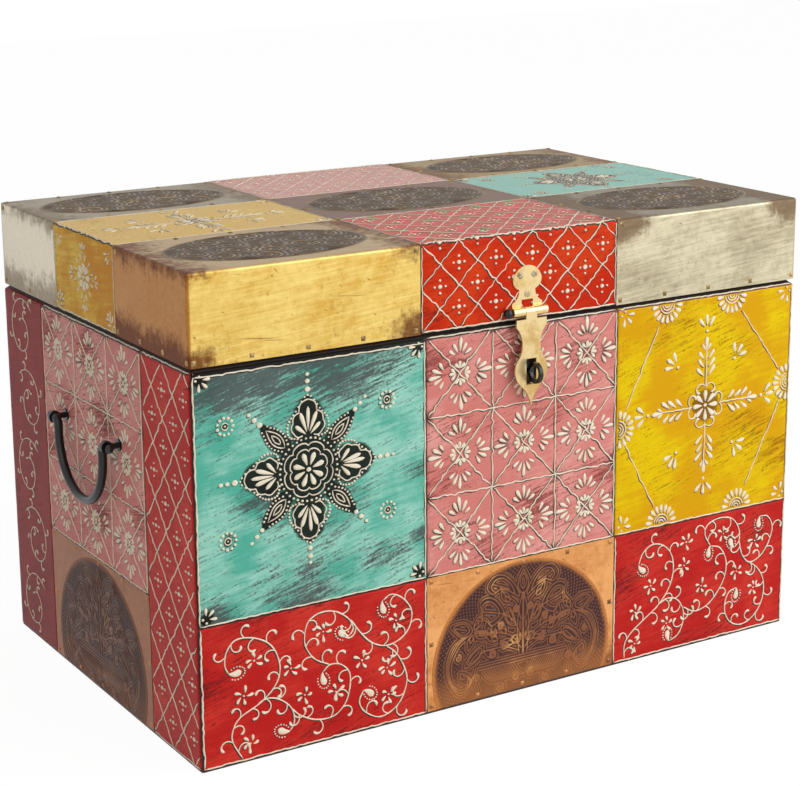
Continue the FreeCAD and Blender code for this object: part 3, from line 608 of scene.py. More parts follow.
@dataclass(frozen=True)
class FoldedFace(Face):
    """A side of the lid whose v goes up the side, round the rounded edge and on across the top."""

    rise: float
    rounding: float

    def to_chest(self, ruled: np.ndarray) -> np.ndarray:
        """Up to the rounding v is height; on it v is arc length; past it v is distance inwards."""
        u, v, h = ruled[..., 0], ruled[..., 1], ruled[..., 2]
        straight = self.rise - self.rounding
        turn = np.clip((v - straight) / self.rounding, 0.0, RIGHT_ANGLE)
        beyond = np.maximum(v - straight - self.rounding * RIGHT_ANGLE, 0.0)
        out = (self.rounding + h) * np.cos(turn) - self.rounding - beyond
        height = np.minimum(v, straight) + (self.rounding + h) * np.sin(turn)
        return super().to_chest(np.stack([u, height, out], -1))


@dataclass(frozen=True)
class WrappedFace(Face):
    """A side of the body whose paint runs round its upright corners and a little way onto the top bevel."""

    width: float
    rounding: float
    bevel: float

    def to_chest(self, ruled: np.ndarray) -> np.ndarray:
        """Past the flat part u is arc length round the corner, and v is length up the bevel."""
        u, v, h = ruled[..., 0] - self.width / 2, ruled[..., 1], ruled[..., 2]
        half = self.width / 2 - self.rounding
        flat = np.clip(u, -half, half)
        turn = (u - flat) / self.rounding
        climb = np.maximum(v - self.bevel, 0.0) * math.sqrt(0.5)
        lean = np.clip(2 * climb, 0.0, 1.0) * np.pi / 4
        swing = self.rounding + h * np.cos(lean)
        along = self.width / 2 + flat * (1 - climb / half) + swing * np.sin(turn)
        out = swing * np.cos(turn) - self.rounding - climb
        height = np.minimum(v, self.bevel) + climb + h * np.sin(lean)
        return super().to_chest(np.stack([along, height, out], -1))


# Ornament drawn as strokes

LINE = 0.64
SKIN = 0.5
SUNK = 0.1
SECTION = 6
ARM_LENGTH = 85.0
DROP_SHARE = np.array([0.0, 0.12, 0.3, 0.52, 0.74, 0.9, 1.0])
DROP_SWELL = np.array([0.12, 0.34, 0.6, 0.88, 1.0, 0.74, 0.14])
DOT_SHARE = np.array([-1.0, -0.75, 0.0, 0.75, 1.0])
DOT_SWELL = np.array([0.15, 0.68, 1.0, 0.68, 0.15])
HOOK_SHARE = np.array([0.0, 0.1, 0.66, 0.86, 0.95, 1.0])
HOOK_SWELL = np.array([0.3, 0.55, 0.6, 1.35, 1.3, 0.4])
QUARTERS = RIGHT_ANGLE * np.arange(4)
BORDER_SWAY = 0.26


def compass(angle: float | np.ndarray) -> np.ndarray:
    """The unit vector at each angle in radians."""
    return np.stack([np.cos(angle), np.sin(angle)], -1)


def turned(angle: float) -> np.ndarray:
    """The two axes of a drawing that points along an angle."""
    return compass(angle + np.array([0.0, RIGHT_ANGLE]))


@dataclass
class Strokes:
    """Strokes of piped paste on one patch, in millimetres from its lower left corner."""

    width: float
    height: float
    seed: int
    strokes: list[tuple[np.ndarray, np.ndarray]] = field(default_factory=list)
    grounds: list[tuple[np.ndarray, np.ndarray]] = field(default_factory=list)
    hand: np.random.Generator = field(init=False)

    def __post_init__(self) -> None:
        """Seeds the hand's unsteadiness."""
        self.hand = np.random.default_rng(self.seed)

    def add(self, points: np.ndarray, half: np.ndarray) -> None:
        """Keeps one stroke: its middle line and its half width along it."""
        self.strokes.append((np.asarray(points, float), np.asarray(half, float)))

    def ground(self, points: np.ndarray, half: np.ndarray) -> None:
        """Keeps one dark area: a line down its middle and its half width along it."""
        self.grounds.append((np.asarray(points, float), np.asarray(half, float)))

    def path(self, points: np.ndarray, half: float = LINE) -> None:
        """A line of uneven width with tapered ends."""
        width = half * self.hand.uniform(0.75, 1.2, len(points))
        width[[0, -1]] *= 0.3
        self.add(points, width)

    def line(self, start: tuple, end: tuple, half: float = LINE, sway: float = 0.5) -> None:
        """A straight line that wanders by the hand's sway."""
        first, last = np.array(start, float), np.array(end, float)
        length = float(np.linalg.norm(last - first))
        count = max(4, int(length / 3.6) + 2)
        across = np.array([first[1] - last[1], last[0] - first[0]]) / length
        off = self.hand.normal(0.0, sway, (count, 1))
        off[[0, -1]] = 0.0
        self.path(first + np.linspace(0, 1, count)[:, None] * (last - first) + off * across, half)

    def curve(self, knots: list | np.ndarray, half: float = LINE, closed: bool = False,
              pitch: float = 3.0) -> np.ndarray:
        """A Catmull-Rom curve through the knots.

        Args:
            knots: points to pass through.
            half: half the line's width.
            closed: whether it comes back to its start.
            pitch: about how far apart its own points lie.

        Returns:
            The curve's points.
        """
        points = self.through(knots, closed, pitch)
        self.path(points, half)
        return points

    @staticmethod
    def through(knots: list | np.ndarray, closed: bool, pitch: float) -> np.ndarray:
        """Each span is the cubic whose slopes at its ends run between the knots on either side."""
        given = np.asarray(knots, float)
        if closed:
            ring = np.vstack([given[-1], given, given[:2]])
        else:
            ring = np.vstack([2 * given[0] - given[1], given, 2 * given[-1] - given[-2]])
        spans = len(ring) - 3
        a, b, c, d = (ring[i:i + spans, None, :] for i in range(4))
        count = max(2, int(np.linalg.norm(c - b, axis=-1).mean() / pitch) + 1)
        t = np.linspace(0, 1, count, endpoint=False)[None, :, None]
        cubic = 0.5 * (2 * b + (c - a) * t + (2 * a - 5 * b + 4 * c - d) * t ** 2
                       + (3 * b - a - 3 * c + d) * t ** 3)
        return np.vstack([cubic.reshape(-1, 2), ring[-2]])

    def drop(self, base: np.ndarray, angle: float, length: float, half: float) -> None:
        """A teardrop that starts thin at its base."""
        lean = angle + self.hand.normal(0.0, 0.05)
        self.add(np.asarray(base) + DROP_SHARE[:, None] * length * compass(lean), half * DROP_SWELL)

    def dot(self, centre: np.ndarray, radius: float) -> None:
        """A round bead."""
        size = radius * self.hand.uniform(0.85, 1.12)
        self.add(np.asarray(centre) + DOT_SHARE[:, None] * size * compass(0.0), size * DOT_SWELL)

    def beads(self, points: np.ndarray, radius: float) -> None:
        """A bead at each point."""
        for point in points:
            self.dot(point, radius)

    def ring(self, centre: np.ndarray, radius: float, half: float = LINE, lobes: int = 0,
             depth: float = 0.0, phase: float = 0.0) -> None:
        """A circle, scalloped by lobes of a given depth."""
        turn = np.linspace(0, 2 * np.pi, max(13, int(radius * 2.4), lobes * 8 + 1))
        size = radius + depth * np.sqrt(np.abs(np.cos(lobes * (turn - phase) / 2)))
        self.path(np.asarray(centre) + size[:, None] * compass(turn), half)

    def bead_ring(self, centre: np.ndarray, radius: float, count: int, bead: float) -> None:
        """Beads set evenly on a circle."""
        turn = np.linspace(0, 2 * np.pi, count, endpoint=False)
        self.beads(centre + radius * compass(turn), bead)

    def trail(self, centre: np.ndarray, along: np.ndarray, steps: tuple, scale: float) -> None:
        """Beads in a row, each step giving how far along and its radius."""
        for reach, radius in steps:
            self.dot(centre + reach * along, radius * scale)

    def dark_spot(self, centre: np.ndarray, radius: float) -> None:
        """A round dark area."""
        self.ground([centre, centre + 0.1], [radius, radius])

    def petals(self, centre: np.ndarray, inner: float, outer: float, count: int, half: float,
               phase: float = 0.0, spread: float = 2 * math.pi) -> None:
        """Teardrops fanned evenly over a spread, a whole turn by default."""
        whole = spread == 2 * math.pi
        for i in range(count):
            angle = phase + spread * (i / count if whole else i / (count - 1) - 0.5)
            self.drop(np.asarray(centre) + inner * compass(angle), angle, outer - inner, half)

    def flower(self, centre: np.ndarray, radius: float, count: int, phase: float = 0.0) -> None:
        """A bead within a round of petals."""
        self.dot(centre, radius * 0.16)
        self.petals(centre, radius * 0.3, radius, count, radius * 2.1 / count, phase)

    def comma(self, base: np.ndarray, angle: float, length: float, half: float, bend: float) -> np.ndarray:
        """A drop whose heading turns by a bend; gives back its middle line."""
        heading = angle + bend * DROP_SHARE[1:]
        legs = np.diff(DROP_SHARE)[:, None] * length * compass(heading)
        points = np.asarray(base) + np.vstack([[0.0, 0.0], np.cumsum(legs, axis=0)])
        self.add(points, half * DROP_SWELL)
        return points

    def sprig(self, base: np.ndarray, angle: float, size: float) -> None:
        """Three petals and a bead at their foot."""
        self.petals(base, size * 0.3, size, 3, size * 0.14, angle, 1.35)
        self.dot(np.asarray(base) - 0.06 * size * compass(angle), size * 0.11)

    def hook(self, base: np.ndarray, angle: float, size: float, turn: float) -> None:
        """A tendril that curls over by about a half turn and swells into a drop at its end."""
        share = np.linspace(0, 1, 12)
        heading = angle + turn * (0.35 * share + 3.1 * share ** 1.6)
        steps = compass(heading) * size / (len(share) - 1)
        points = np.asarray(base) + np.cumsum(steps, axis=0) - steps[0]
        self.add(points, np.interp(share, HOOK_SHARE, HOOK_SWELL))

    def leaf(self, base: np.ndarray, angle: float, length: float, half: float, line: float = LINE) -> None:
        """A pointed outline: two arcs whose width is a sine of the way along."""
        share = np.linspace(0, 1, 9)
        along, side = turned(angle)
        spine = np.asarray(base) + share[:, None] * length * along
        for sign in (1.0, -1.0):
            self.path(spine + sign * half * np.sin(np.pi * share ** 0.85)[:, None] * side, line)

    def bud(self, base: np.ndarray, angle: float, size: float, turn: float) -> None:
        """A fat comma in a round of fine beads, open where its stem comes in."""
        spine = self.comma(base, angle, size, size * 0.26, turn * 0.9)
        middle = spine[3] + 0.35 * (spine[5] - spine[3])
        lean = math.atan2(*(spine[5] - spine[2])[::-1])
        reach = compass(np.linspace(-2.25, 2.25, 13)) * size * (0.6, 0.45)
        self.beads(middle + reach @ turned(lean), 0.75)

    def spiral(self, centre: np.ndarray, radius: float, phase: float, turn: float, half: float) -> None:
        """A line that winds in by one and a half turns."""
        share = np.linspace(0, 1, 22)
        reach = radius * (1 - 0.9 * share)
        self.path(np.asarray(centre) + reach[:, None] * compass(phase + turn * 9.4 * share), half)

    def border(self, sides: str = "ltrb", inset: float = 1.0) -> None:
        """The wavy line along the patch's sides, named by their first letters."""
        far_u, far_v = self.width - inset, self.height - inset
        corners = {"l": ((inset, inset), (inset, far_v)), "t": ((inset, far_v), (far_u, far_v)),
                   "r": ((far_u, far_v), (far_u, inset)), "b": ((far_u, inset), (inset, inset))}
        for letter in sides:
            self.line(*corners[letter], sway=BORDER_SWAY)

    def dark_top(self, depth: float) -> None:
        """A dark band along the patch's top, so deep, with the wavy line under it."""
        for height in (self.height, self.height - depth / 2):
            self.ground([(0.0, height), (self.width, height)], [depth / 2, depth / 2])
        self.line((1.0, self.height - depth), (self.width - 1.0, self.height - depth), sway=BORDER_SWAY)

    def keep_inside(self, inset: float = 0.7) -> None:
        """Drops strokes that would leave the patch, and draws in those that only touch its rim."""
        high = np.array([self.width - inset, self.height - inset])
        self.strokes = [(np.clip(p, inset, high), w) for p, w in self.strokes
                        if np.all(p > inset - 1.4) and np.all(p < high + 1.4)]

    def surface(self, face: Face, corner: tuple[float, float], widen: float, rise: float,
                drift: float = 0.0) -> Surface:
        """Carries half an ellipse along every stroke and closes its ends.

        Args:
            face: the face that the patch lies on.
            corner: the patch's lower left corner on it.
            widen: added to every half width.
            rise: the most that a stroke stands up.
            drift: how far all strokes are moved along both directions.

        Returns:
            The strokes as one mesh of closed ridges.
        """
        groups: dict[int, list] = {}
        for points, half in self.strokes:
            groups.setdefault(len(points), []).append((points, half))
        places, quads, caps, count = [], [], [], 0
        bow = np.linspace(0, np.pi, SECTION)
        for length, members in groups.items():
            middle, half = (np.array(part) for part in zip(*members))
            middle = middle + corner
            tangent = np.gradient(middle, axis=1)
            tangent /= np.maximum(np.linalg.norm(tangent, axis=-1, keepdims=True), 1e-9)
            across = np.stack([-tangent[..., 1], tangent[..., 0]], -1)
            spread = (half + widen)[..., None] * np.cos(bow)
            crown = np.minimum(rise, (half + 0.02) * 1.1)[..., None] * np.sin(bow)
            flat = middle[:, :, None, :] + drift + spread[..., None] * across[:, :, None, :]
            ridge = np.concatenate([flat, (SKIN - SUNK + crown)[..., None]], -1)
            places.append(face.to_chest(ridge).reshape(-1, 3))
            index = count + np.arange(len(members) * length * SECTION).reshape(-1, length, SECTION)
            beside = np.roll(index, -1, axis=2)
            corners = (index[:, :-1], beside[:, :-1], beside[:, 1:], index[:, 1:])
            quads.append(np.stack(corners, -1).reshape(-1, 4))
            caps.append(np.concatenate([index[:, 0, ::-1], index[:, -1]]))
            count += index.size
        return Surface(np.concatenate(places), np.concatenate(quads), np.concatenate(caps))


class Ornament(Strokes):
    """The patterns of the patches, each made up of strokes."""

    def mandala(self, middle: tuple[float, float], scale: float = 1.0) -> None:
        """A round flower with four shells, four leaves and trails of shrinking beads, on a dark ground.

        Args:
            middle: its centre.
            scale: its size, where one is 55 mm to a shell's tip.
        """
        centre = np.array(middle)
        self.dark_spot(centre, 32 * scale)
        self.dot(centre, 1.9 * scale)
        self.petals(centre, 3.8 * scale, 14.4 * scale, 8, 2.35 * scale, RIGHT_ANGLE / 4)
        for radius, depth in ((14.8, 2.6), (19.6, 3.0)):
            self.ring(centre, radius * scale, LINE * 0.9 * scale, 8, depth * scale, RIGHT_ANGLE / 4)
        self.bead_ring(centre, 25.6 * scale, 38, 1.05 * scale)
        for angle in QUARTERS:
            self.shell(centre, angle, scale)
            self.guard_leaf(centre, angle + RIGHT_ANGLE / 2, scale)

    def shell(self, centre: np.ndarray, angle: float, scale: float) -> None:
        """Five fat petals in a pointed hood of eight scallops, with beads outside it and three on its tip."""
        axes = scale * turned(angle)
        spine = centre + np.outer([26, 34, 44, 51, 57], axes[0])
        self.ground(spine, scale * np.array([15, 19, 17, 10, 4]))
        half_hood = np.array([(28, -5), (30.5, -12.6), (39, -13.4), (47, -8), (57, 0)], float)
        hood = np.vstack([half_hood, half_hood[-2::-1] * (1, -1)])
        for start, end in zip(hood[:-1], hood[1:]):
            share = np.linspace(0, 1, 7)
            out = np.array([end[1] - start[1], start[0] - end[0]]) * 0.24
            lobe = start + share[:, None] * (end - start) + np.sin(np.pi * share)[:, None] * out
            self.add(centre + lobe @ axes, np.full(7, LINE * 0.9 * scale))
        knots = (hood - (40, 0)) * (1.2, 1.33) + (40, 0)
        self.beads(centre + self.through(knots, False, 3.1)[1:-1] @ axes, 1.0 * scale)
        for reach, side, length, half in ((51, 0, 19, 1.75), (47, 6.6, 17, 1.95), (47, -6.6, 17, 1.95),
                                          (37.5, 10.6, 12, 1.8), (37.5, -10.6, 12, 1.8)):
            tip = np.array([reach, side])
            way = (tip - (27, 0)) / np.linalg.norm(tip - (27, 0))
            lean = angle + math.atan2(way[1], way[0])
            self.drop(centre + (tip - length * way) @ axes, lean, length * scale, half * scale)
        self.trail(centre, axes[0], ((65, 2.4), (71.5, 2.1), (77, 1.7)), scale)

    def guard_leaf(self, centre: np.ndarray, angle: float, scale: float) -> None:
        """A slim pointed leaf with a smaller one inside, beads outside and three on its tip."""
        axes = scale * turned(angle)
        spine = centre + np.outer([28, 38, 48, 56], axes[0])
        self.ground(spine, scale * np.array([8, 10, 8, 4]))
        self.leaf(centre + 29.5 * axes[0], angle, 23 * scale, 4.4 * scale, LINE * 0.9 * scale)
        self.leaf(centre + 34.5 * axes[0], angle, 11.5 * scale, 1.9 * scale, LINE * 0.8 * scale)
        share = np.linspace(0.0, 1.02, 9)
        swell = 4.4 * np.sin(np.pi * np.clip(share, 0.03, 0.97) ** 0.85) + 3.0
        for sign in (1.0, -1.0):
            self.beads(centre + np.stack([29.5 + 24 * share, sign * swell], -1) @ axes, 0.95 * scale)
        self.trail(centre, axes[0], ((60, 2.3), (66.5, 2.1), (73, 1.7)), scale)

    def rosettes(self, middle: tuple[float, float], spread: tuple[float, float], radius: float) -> None:
        """A small ring of beads in each quarter."""
        for signs in product((-1, 1), repeat=2):
            centre = np.array(middle) + np.array(signs) * spread
            self.dark_spot(centre, radius * 0.7)
            self.bead_ring(centre, radius, 11, radius * 0.2)
            self.ring(centre, radius * 0.42, LINE * 0.9)
            self.dot(centre, radius * 0.13)

    def corner_sprigs(self, size: float, dark: bool = True) -> None:
        """Three loose petals and two beads in each corner, on a dark ground if asked."""
        for u, v, turn in ((0, 0, 1), (self.width, 0, 3), (self.width, self.height, 5), (0, self.height, 7)):
            angle = turn * RIGHT_ANGLE / 2
            base = np.array([u, v]) + size * 0.9 * compass(angle)
            if dark:
                self.ground([base, base + 0.5 * size * compass(angle)], [size * 0.55, size * 0.4])
            self.petals(base, size * 0.3, size * 0.95, 3, size * 0.15, angle, 1.7)
            for side in (0.85, -0.85):
                self.dot(base + 0.3 * size * compass(angle + math.pi + side), size * 0.11)

    def star_cells(self, columns: int, rows: int) -> None:
        """Cells crossed by both diagonals, with a fan of petals on each side and buds round the middle."""
        wide, tall = self.width / columns, self.height / rows
        for i in range(1, columns):
            self.line((i * wide, 2), (i * wide, self.height - 2))
        for j in range(1, rows):
            self.line((2, j * tall), (self.width - 2, j * tall))
        for i, j in product(range(columns), range(rows)):
            self.star_cell(np.array([(i + 0.5) * wide, (j + 0.5) * tall]), wide, tall)

    def star_cell(self, centre: np.ndarray, wide: float, tall: float) -> None:
        """One cell of the star lattice."""
        reach_u, reach_v = wide / 2 - 1.2, tall / 2 - 1.2
        for sign in (1, -1):
            self.line(centre - (reach_u, sign * reach_v), centre + (reach_u, sign * reach_v))
        fan = ((0, 7.2, 0, 12.2, 1.85), (0.32, 6.4, 0.48, 9.8, 1.7), (-0.32, 6.4, -0.48, 9.8, 1.7),
               (0.78, 6.4, 0.98, 7.6, 1.55), (-0.78, 6.4, -0.98, 7.6, 1.55))
        for angle in QUARTERS:
            focus = centre + 11.3 * compass(angle)
            for place, start, lean, length, half in fan:
                size = self.hand.uniform(0.85, 1.1)
                self.drop(focus + start * compass(angle + place), angle + lean, length * size, half * size)
            self.petals(centre + 3.9 * compass(angle), 0.5, 6.6, 3, 1.6, angle, 1.7)

    def lattice(self, wide: float, tall: float, bead: float = 2.0) -> None:
        """Wavy diagonals that make diamonds, each with a bead and four smaller ones.

        Args:
            wide: a diamond's width.
            tall: a diamond's height.
            bead: the middle bead's radius.
        """
        edge = 1.5
        low, high = np.array([edge, edge]), np.array([self.width - edge, self.height - edge])
        most = int(self.width / wide + self.height / tall) + 2
        steps = range(-most, most + 1)
        for slope, k in product((1, -1), steps):
            self.clipped_line(low, high, wide, tall * slope, k)
        for a, b in product(steps, steps):
            centre = np.array([wide * (a + b + 1) / 2, tall * (a - b) / 2])
            if np.all(centre > low + 4) and np.all(centre < high - 4):
                self.dot(centre, bead)
                self.beads(centre + bead * 2.6 * compass(QUARTERS), bead * 0.58)

    def clipped_line(self, low: np.ndarray, high: np.ndarray, wide: float, tall: float, k: int) -> None:
        """The part inside the patch of the line where u over wide less v over tall is k."""
        ends = np.array([low[0] / wide - k, high[0] / wide - k]) * tall
        v_low, v_high = max(min(ends), low[1]), min(max(ends), high[1])
        if v_high - v_low > 3.0:
            self.line(((v_low / tall + k) * wide, v_low), ((v_high / tall + k) * wide, v_high))

    def vine(self, count: int) -> None:
        """A column of stems that wind into loops, turned left and right in turn, with hooks on both sides.

        Args:
            count: how many loops.
        """
        tall = self.height / count
        for i in range(count):
            sign = 1.0 if i % 2 else -1.0
            share = np.linspace(0, 1, 40)
            bearing = RIGHT_ANGLE + sign * (0.9 - 7.6 * share)
            reach = (1.0 - 0.7 * share ** 0.8) * 0.36 * self.width
            heart = np.array([self.width / 2 + sign * 0.06 * self.width, (i + 0.48) * tall])
            loop = heart + reach[:, None] * compass(bearing) * (1.0, 1.06)
            self.path(loop, 0.5)
            self.tendrils(loop, 0.7, 24.0)
            self.dot(loop[-1], 1.3)

    def bouquet(self, middle: tuple[float, float], reach_u: float, reach_v: float) -> None:
        """A flower with four leafy arms, curls at their feet and sprigs between them.

        Args:
            middle: its centre.
            reach_u: how far the arms reach to the sides.
            reach_v: how far they reach up and down.
        """
        centre = np.array(middle)
        scale = reach_v / ARM_LENGTH
        self.dark_spot(centre, 17 * scale)
        self.dot(centre, 1.9 * scale)
        self.petals(centre, 3.6 * scale, 13.8 * scale, 8, 2.4 * scale, RIGHT_ANGLE)
        for angle, reach in zip(QUARTERS, (reach_u, reach_v) * 2):
            self.arm(centre, angle, reach / ARM_LENGTH, scale)
            diagonal = angle + RIGHT_ANGLE / 2
            place = centre + np.array([0.4 * reach_u, 0.46 * reach_v]) * np.sign(compass(diagonal))
            self.sprig(place, diagonal + 0.15, 14 * scale)

    def arm(self, centre: np.ndarray, angle: float, stretch: float, scale: float) -> None:
        """A stem with two curls at its foot, three pairs of loose leaves, a bud and a loose sprig."""
        along = stretch * compass(angle)
        self.line(centre + 15 * along, centre + 56 * along, LINE, 0.25)
        bud = centre + 50 * along
        for sign in (1.0, -1.0):
            beside = 2.6 * scale * compass(angle + sign * RIGHT_ANGLE)
            self.hook(centre + 17 * along, angle + sign * 0.75, 20 * scale, sign * 1.15)
            for reach in (27, 34.5, 42):
                size = self.hand.uniform(0.9, 1.1) * scale
                self.drop(centre + reach * along + beside, angle + sign * 0.72, 10.5 * size, 1.75 * size)
            self.drop(bud + 0.4 * beside, angle + sign * 0.55, 6.5 * scale, 1.3 * scale)
        self.drop(bud, angle, 12 * scale, 2.2 * scale)
        self.sprig(centre + 68 * along, angle, 14 * scale)

    def border_rosette(self, place: tuple[float, float], angle: float, size: float) -> None:
        """Half a flower growing from the border: three arcs and a fan of petals."""
        centre = np.array(place)
        for share in (0.16, 0.3, 0.46):
            self.path(centre + size * share * compass(angle + np.linspace(-1.5, 1.5, 11)))
        self.petals(centre, size * 0.56, size, 9, size * 0.115, angle, 2.9)

    def scroll(self, stems: list[list[tuple[float, float]]], flowers: list[tuple[float, float]],
               size: tuple[float, float]) -> None:
        """Winding stems that end in beaded buds, with tendrils on both sides and small flowers.

        Args:
            stems: knots of each stem; the last one is where its bud points.
            flowers: places of the flowers.
            size: the panel that they are drawn for.
        """
        stretch = np.array([self.width / size[0], self.height / size[1]])
        grow = float(stretch.min())
        for stem in stems:
            knots = np.array(stem) * stretch
            points = self.curve(knots[:-1], LINE)
            heading = knots[-1] - knots[-2]
            bend = np.cross(knots[-2] - knots[-3], heading)
            self.bud(knots[-2], math.atan2(heading[1], heading[0]), 12 * grow, 1.0 if bend > 0 else -1.0)
            self.tendrils(points, grow)
        for place in flowers:
            centre = np.array(place) * stretch
            self.dot(centre, 0.9 * grow)
            for angle in np.arange(5) * 1.257 + self.hand.normal(0.0, 0.16, 5) + self.hand.uniform(0, 1.2):
                base = centre + 2.5 * grow * compass(angle)
                length = self.hand.uniform(4.6, 7.0) * grow
                self.comma(base, angle, length, 1.5 * grow, self.hand.uniform(0.2, 1.2))

    def tendrils(self, points: np.ndarray, grow: float, every: float = 11.5) -> None:
        """Hooks that leave a stem on alternate sides, so many millimetres apart when grow is one."""
        legs = np.diff(points, axis=0)
        run = np.cumsum(np.linalg.norm(legs, axis=1))
        for i, distance in enumerate(np.arange(9 * grow, run[-1] - 12 * grow, every * grow)):
            at = int(np.searchsorted(run, distance))
            side = 1.0 if i % 2 else -1.0
            angle = math.atan2(legs[at, 1], legs[at, 0]) + side * 0.55
            self.hook(points[at], angle, self.hand.uniform(16, 21) * grow, side)


@dataclass
class ReliefMap:
    """A height map over one patch, stamped with strokes."""

    width: float
    height: float
    pitch: float
    margin: int = 4
    stretch: int = 32
    values: np.ndarray = field(init=False)

    def __post_init__(self) -> None:
        """Starts flat."""
        shape = [int(math.ceil(s / self.pitch)) + 2 * self.margin for s in (self.width, self.height)]
        self.values = np.zeros(shape)

    def stamp(self, points: np.ndarray, half: np.ndarray, soft: bool = False) -> None:
        """Raises the map around a stroke.

        Args:
            points: the stroke's middle line.
            half: its half width, where the map is back at zero.
            soft: whether it falls off in a straight slope instead of a half circle.
        """
        legs = np.linalg.norm(np.diff(points, axis=0), axis=1)
        run = np.concatenate([[0.0], np.cumsum(legs)])
        fine = np.linspace(0, run[-1], max(2, int(run[-1] / self.pitch) + 1))
        path = np.stack([np.interp(fine, run, points[:, k]) for k in (0, 1)], -1) / self.pitch + self.margin
        reach = np.maximum(np.interp(fine, run, half) / self.pitch, 0.3)
        for first in range(0, len(path), self.stretch):
            part = slice(first, first + self.stretch)
            self.raise_near(path[part], reach[part], soft)

    def raise_near(self, path: np.ndarray, reach: np.ndarray, soft: bool) -> None:
        """Raises the cells near a short stretch of a stroke."""
        most = reach.max() + 1
        low = np.maximum(np.floor(path.min(0) - most).astype(int), 0)
        high = np.minimum(np.ceil(path.max(0) + most).astype(int) + 1, self.values.shape)
        if np.any(high <= low):
            return
        grid = np.stack(np.meshgrid(*map(np.arange, low, high), indexing="ij"), -1)
        away = (np.linalg.norm(grid[:, :, None, :] - path, axis=-1) / reach).min(-1)
        near = np.maximum(1 - away if soft else 1 - away ** 2, 0)
        window = self.values[low[0]:high[0], low[1]:high[1]]
        np.maximum(window, near if soft else np.sqrt(near), out=window)

    def sample(self, u: np.ndarray, v: np.ndarray) -> np.ndarray:
        """Reads the map between its cells by two straight blends."""
        x = np.clip(u / self.pitch + self.margin, 0, self.values.shape[0] - 1.001)
        y = np.clip(v / self.pitch + self.margin, 0, self.values.shape[1] - 1.001)
        i, j = x.astype(int), y.astype(int)
        a, b = x - i, y - j
        grid = self.values
        return ((grid[i, j] * (1 - a) + grid[i + 1, j] * a) * (1 - b)
                + (grid[i, j + 1] * (1 - a) + grid[i + 1, j + 1] * a) * b)


@dataclass
class Patch:
    """One painted patch: a thin skin of paint, a dark wash that is partly a painted shadow, and raised
    piping.
    """

    name: str
    face: Face
    span: tuple[float, float]
    rows: tuple[float, float]
    body: Body
    finish: PaintFinish
    seed: int
    wash: str = "dark"
    worn: tuple[tuple[float, float, float, float], ...] = ()
    skin_pitch: float = 2.2
    skin_rim: float = 0.4
    ripple: float = 0.05
    wear_length: float = 1.6
    rim_reach: float = 22.0
    shade_pitch: float = 1.5
    border_width: float = 2.5
    halo_reach: float = 3.5
    halo: float = 0.4
    wash_widen: float = 0.65
    wash_rise: float = 0.14
    # How far the wash is moved down and left, as a painted shadow.
    painted_shadow_drift: float = -0.38
    piping_rise: float = 0.8
    gap: float = 0.5
    corner: np.ndarray = field(init=False)
    ornament: Ornament = field(init=False)

    def __post_init__(self) -> None:
        """Starts the patch's ornament, drawn in by a gap all round."""
        wide, tall = (high - low - 2 * self.gap for low, high in (self.span, self.rows))
        self.corner = np.array([self.span[0], self.rows[0]]) + self.gap
        self.ornament = Ornament(wide, tall, self.seed)

    def skin(self) -> Surface:
        """A grid that stands the skin's thickness proud, with a slightly wavy face and its rim on the board.

        Returns:
            The skin, with its darkness of ground, its distance from the rim and its wear on its points.
        """
        wide, tall = self.ornament.width, self.ornament.height
        u, v = np.meshgrid(self.ruler(wide), self.ruler(tall), indexing="ij")
        waves = np.sin(u * 0.21 + self.seed) * np.sin(v * 0.17 + 2.0 * self.seed)
        height = SKIN + self.ripple * waves
        height[[0, -1], :] = 0.0
        height[:, [0, -1]] = 0.0
        flat = np.stack([u + self.corner[0], v + self.corner[1]], -1)
        top, under = (self.face.to_chest(np.concatenate([flat, rise[..., None]], -1))
                      for rise in (height, np.zeros_like(height)))
        points, quads = closed_sheet(top, under)
        edge = np.minimum(np.minimum(u, wide - u), np.minimum(v, tall - v))
        wear = np.zeros_like(u)
        for u_share, v_share, radius, strength in self.worn:
            away = np.hypot(u - u_share * wide, self.wear_length * (v - v_share * tall)) / radius
            wear = np.maximum(wear, strength * np.exp(-away ** 2))
        rim = np.clip(edge / self.rim_reach, 0, 1)
        grids = {"ground": self.darkness().sample(u, v), "edge": rim, "wear": wear}
        values = {name: np.concatenate([grid.ravel(), grid[1:-1, 1:-1].ravel()])
                  for name, grid in grids.items()}
        return Surface(points, quads, None, values)

    def darkness(self) -> ReliefMap:
        """How dark the ground is: full in the ornament's dark areas, faint around its other strokes."""
        size = np.array([self.ornament.width, self.ornament.height])
        darkness = ReliefMap(*size, self.shade_pitch)
        for points, half in self.ornament.strokes:
            if np.minimum(points, size - points).min(1).max() > self.border_width:
                darkness.stamp(points, half + self.halo_reach, True)
        darkness.values *= self.halo
        for points, half in self.ornament.grounds:
            darkness.stamp(points, half)
        return darkness

    def ruler(self, length: float) -> np.ndarray:
        """Grid lines along one side, with one close to each end for the rim."""
        inner = np.linspace(self.skin_rim, length - self.skin_rim, max(3, int(length / self.skin_pitch)))
        return np.concatenate([[0.0], inner, [length]])

    def build(self) -> None:
        """Adds the skin, the wash with its painted shadow, and the piping."""
        drawing = self.ornament
        drawing.keep_inside()
        # The wash outlines every stroke and is moved down and left as a painted shadow of the piping.
        wash = drawing.surface(self.face, self.corner, self.wash_widen, self.wash_rise, self.painted_shadow_drift)
        piping = drawing.surface(self.face, self.corner, 0.0, self.piping_rise)
        for layer, surface, finish in (("paint", self.skin(), self.finish), ("wash", wash, WASHES_AND_SHADOWS[self.wash]),
                                       ("piping", piping, PIPING)):
            add_piece(f"{self.name}_{layer}", surface, finish, self.body)


# The chest's own sizes, read from the imported parts


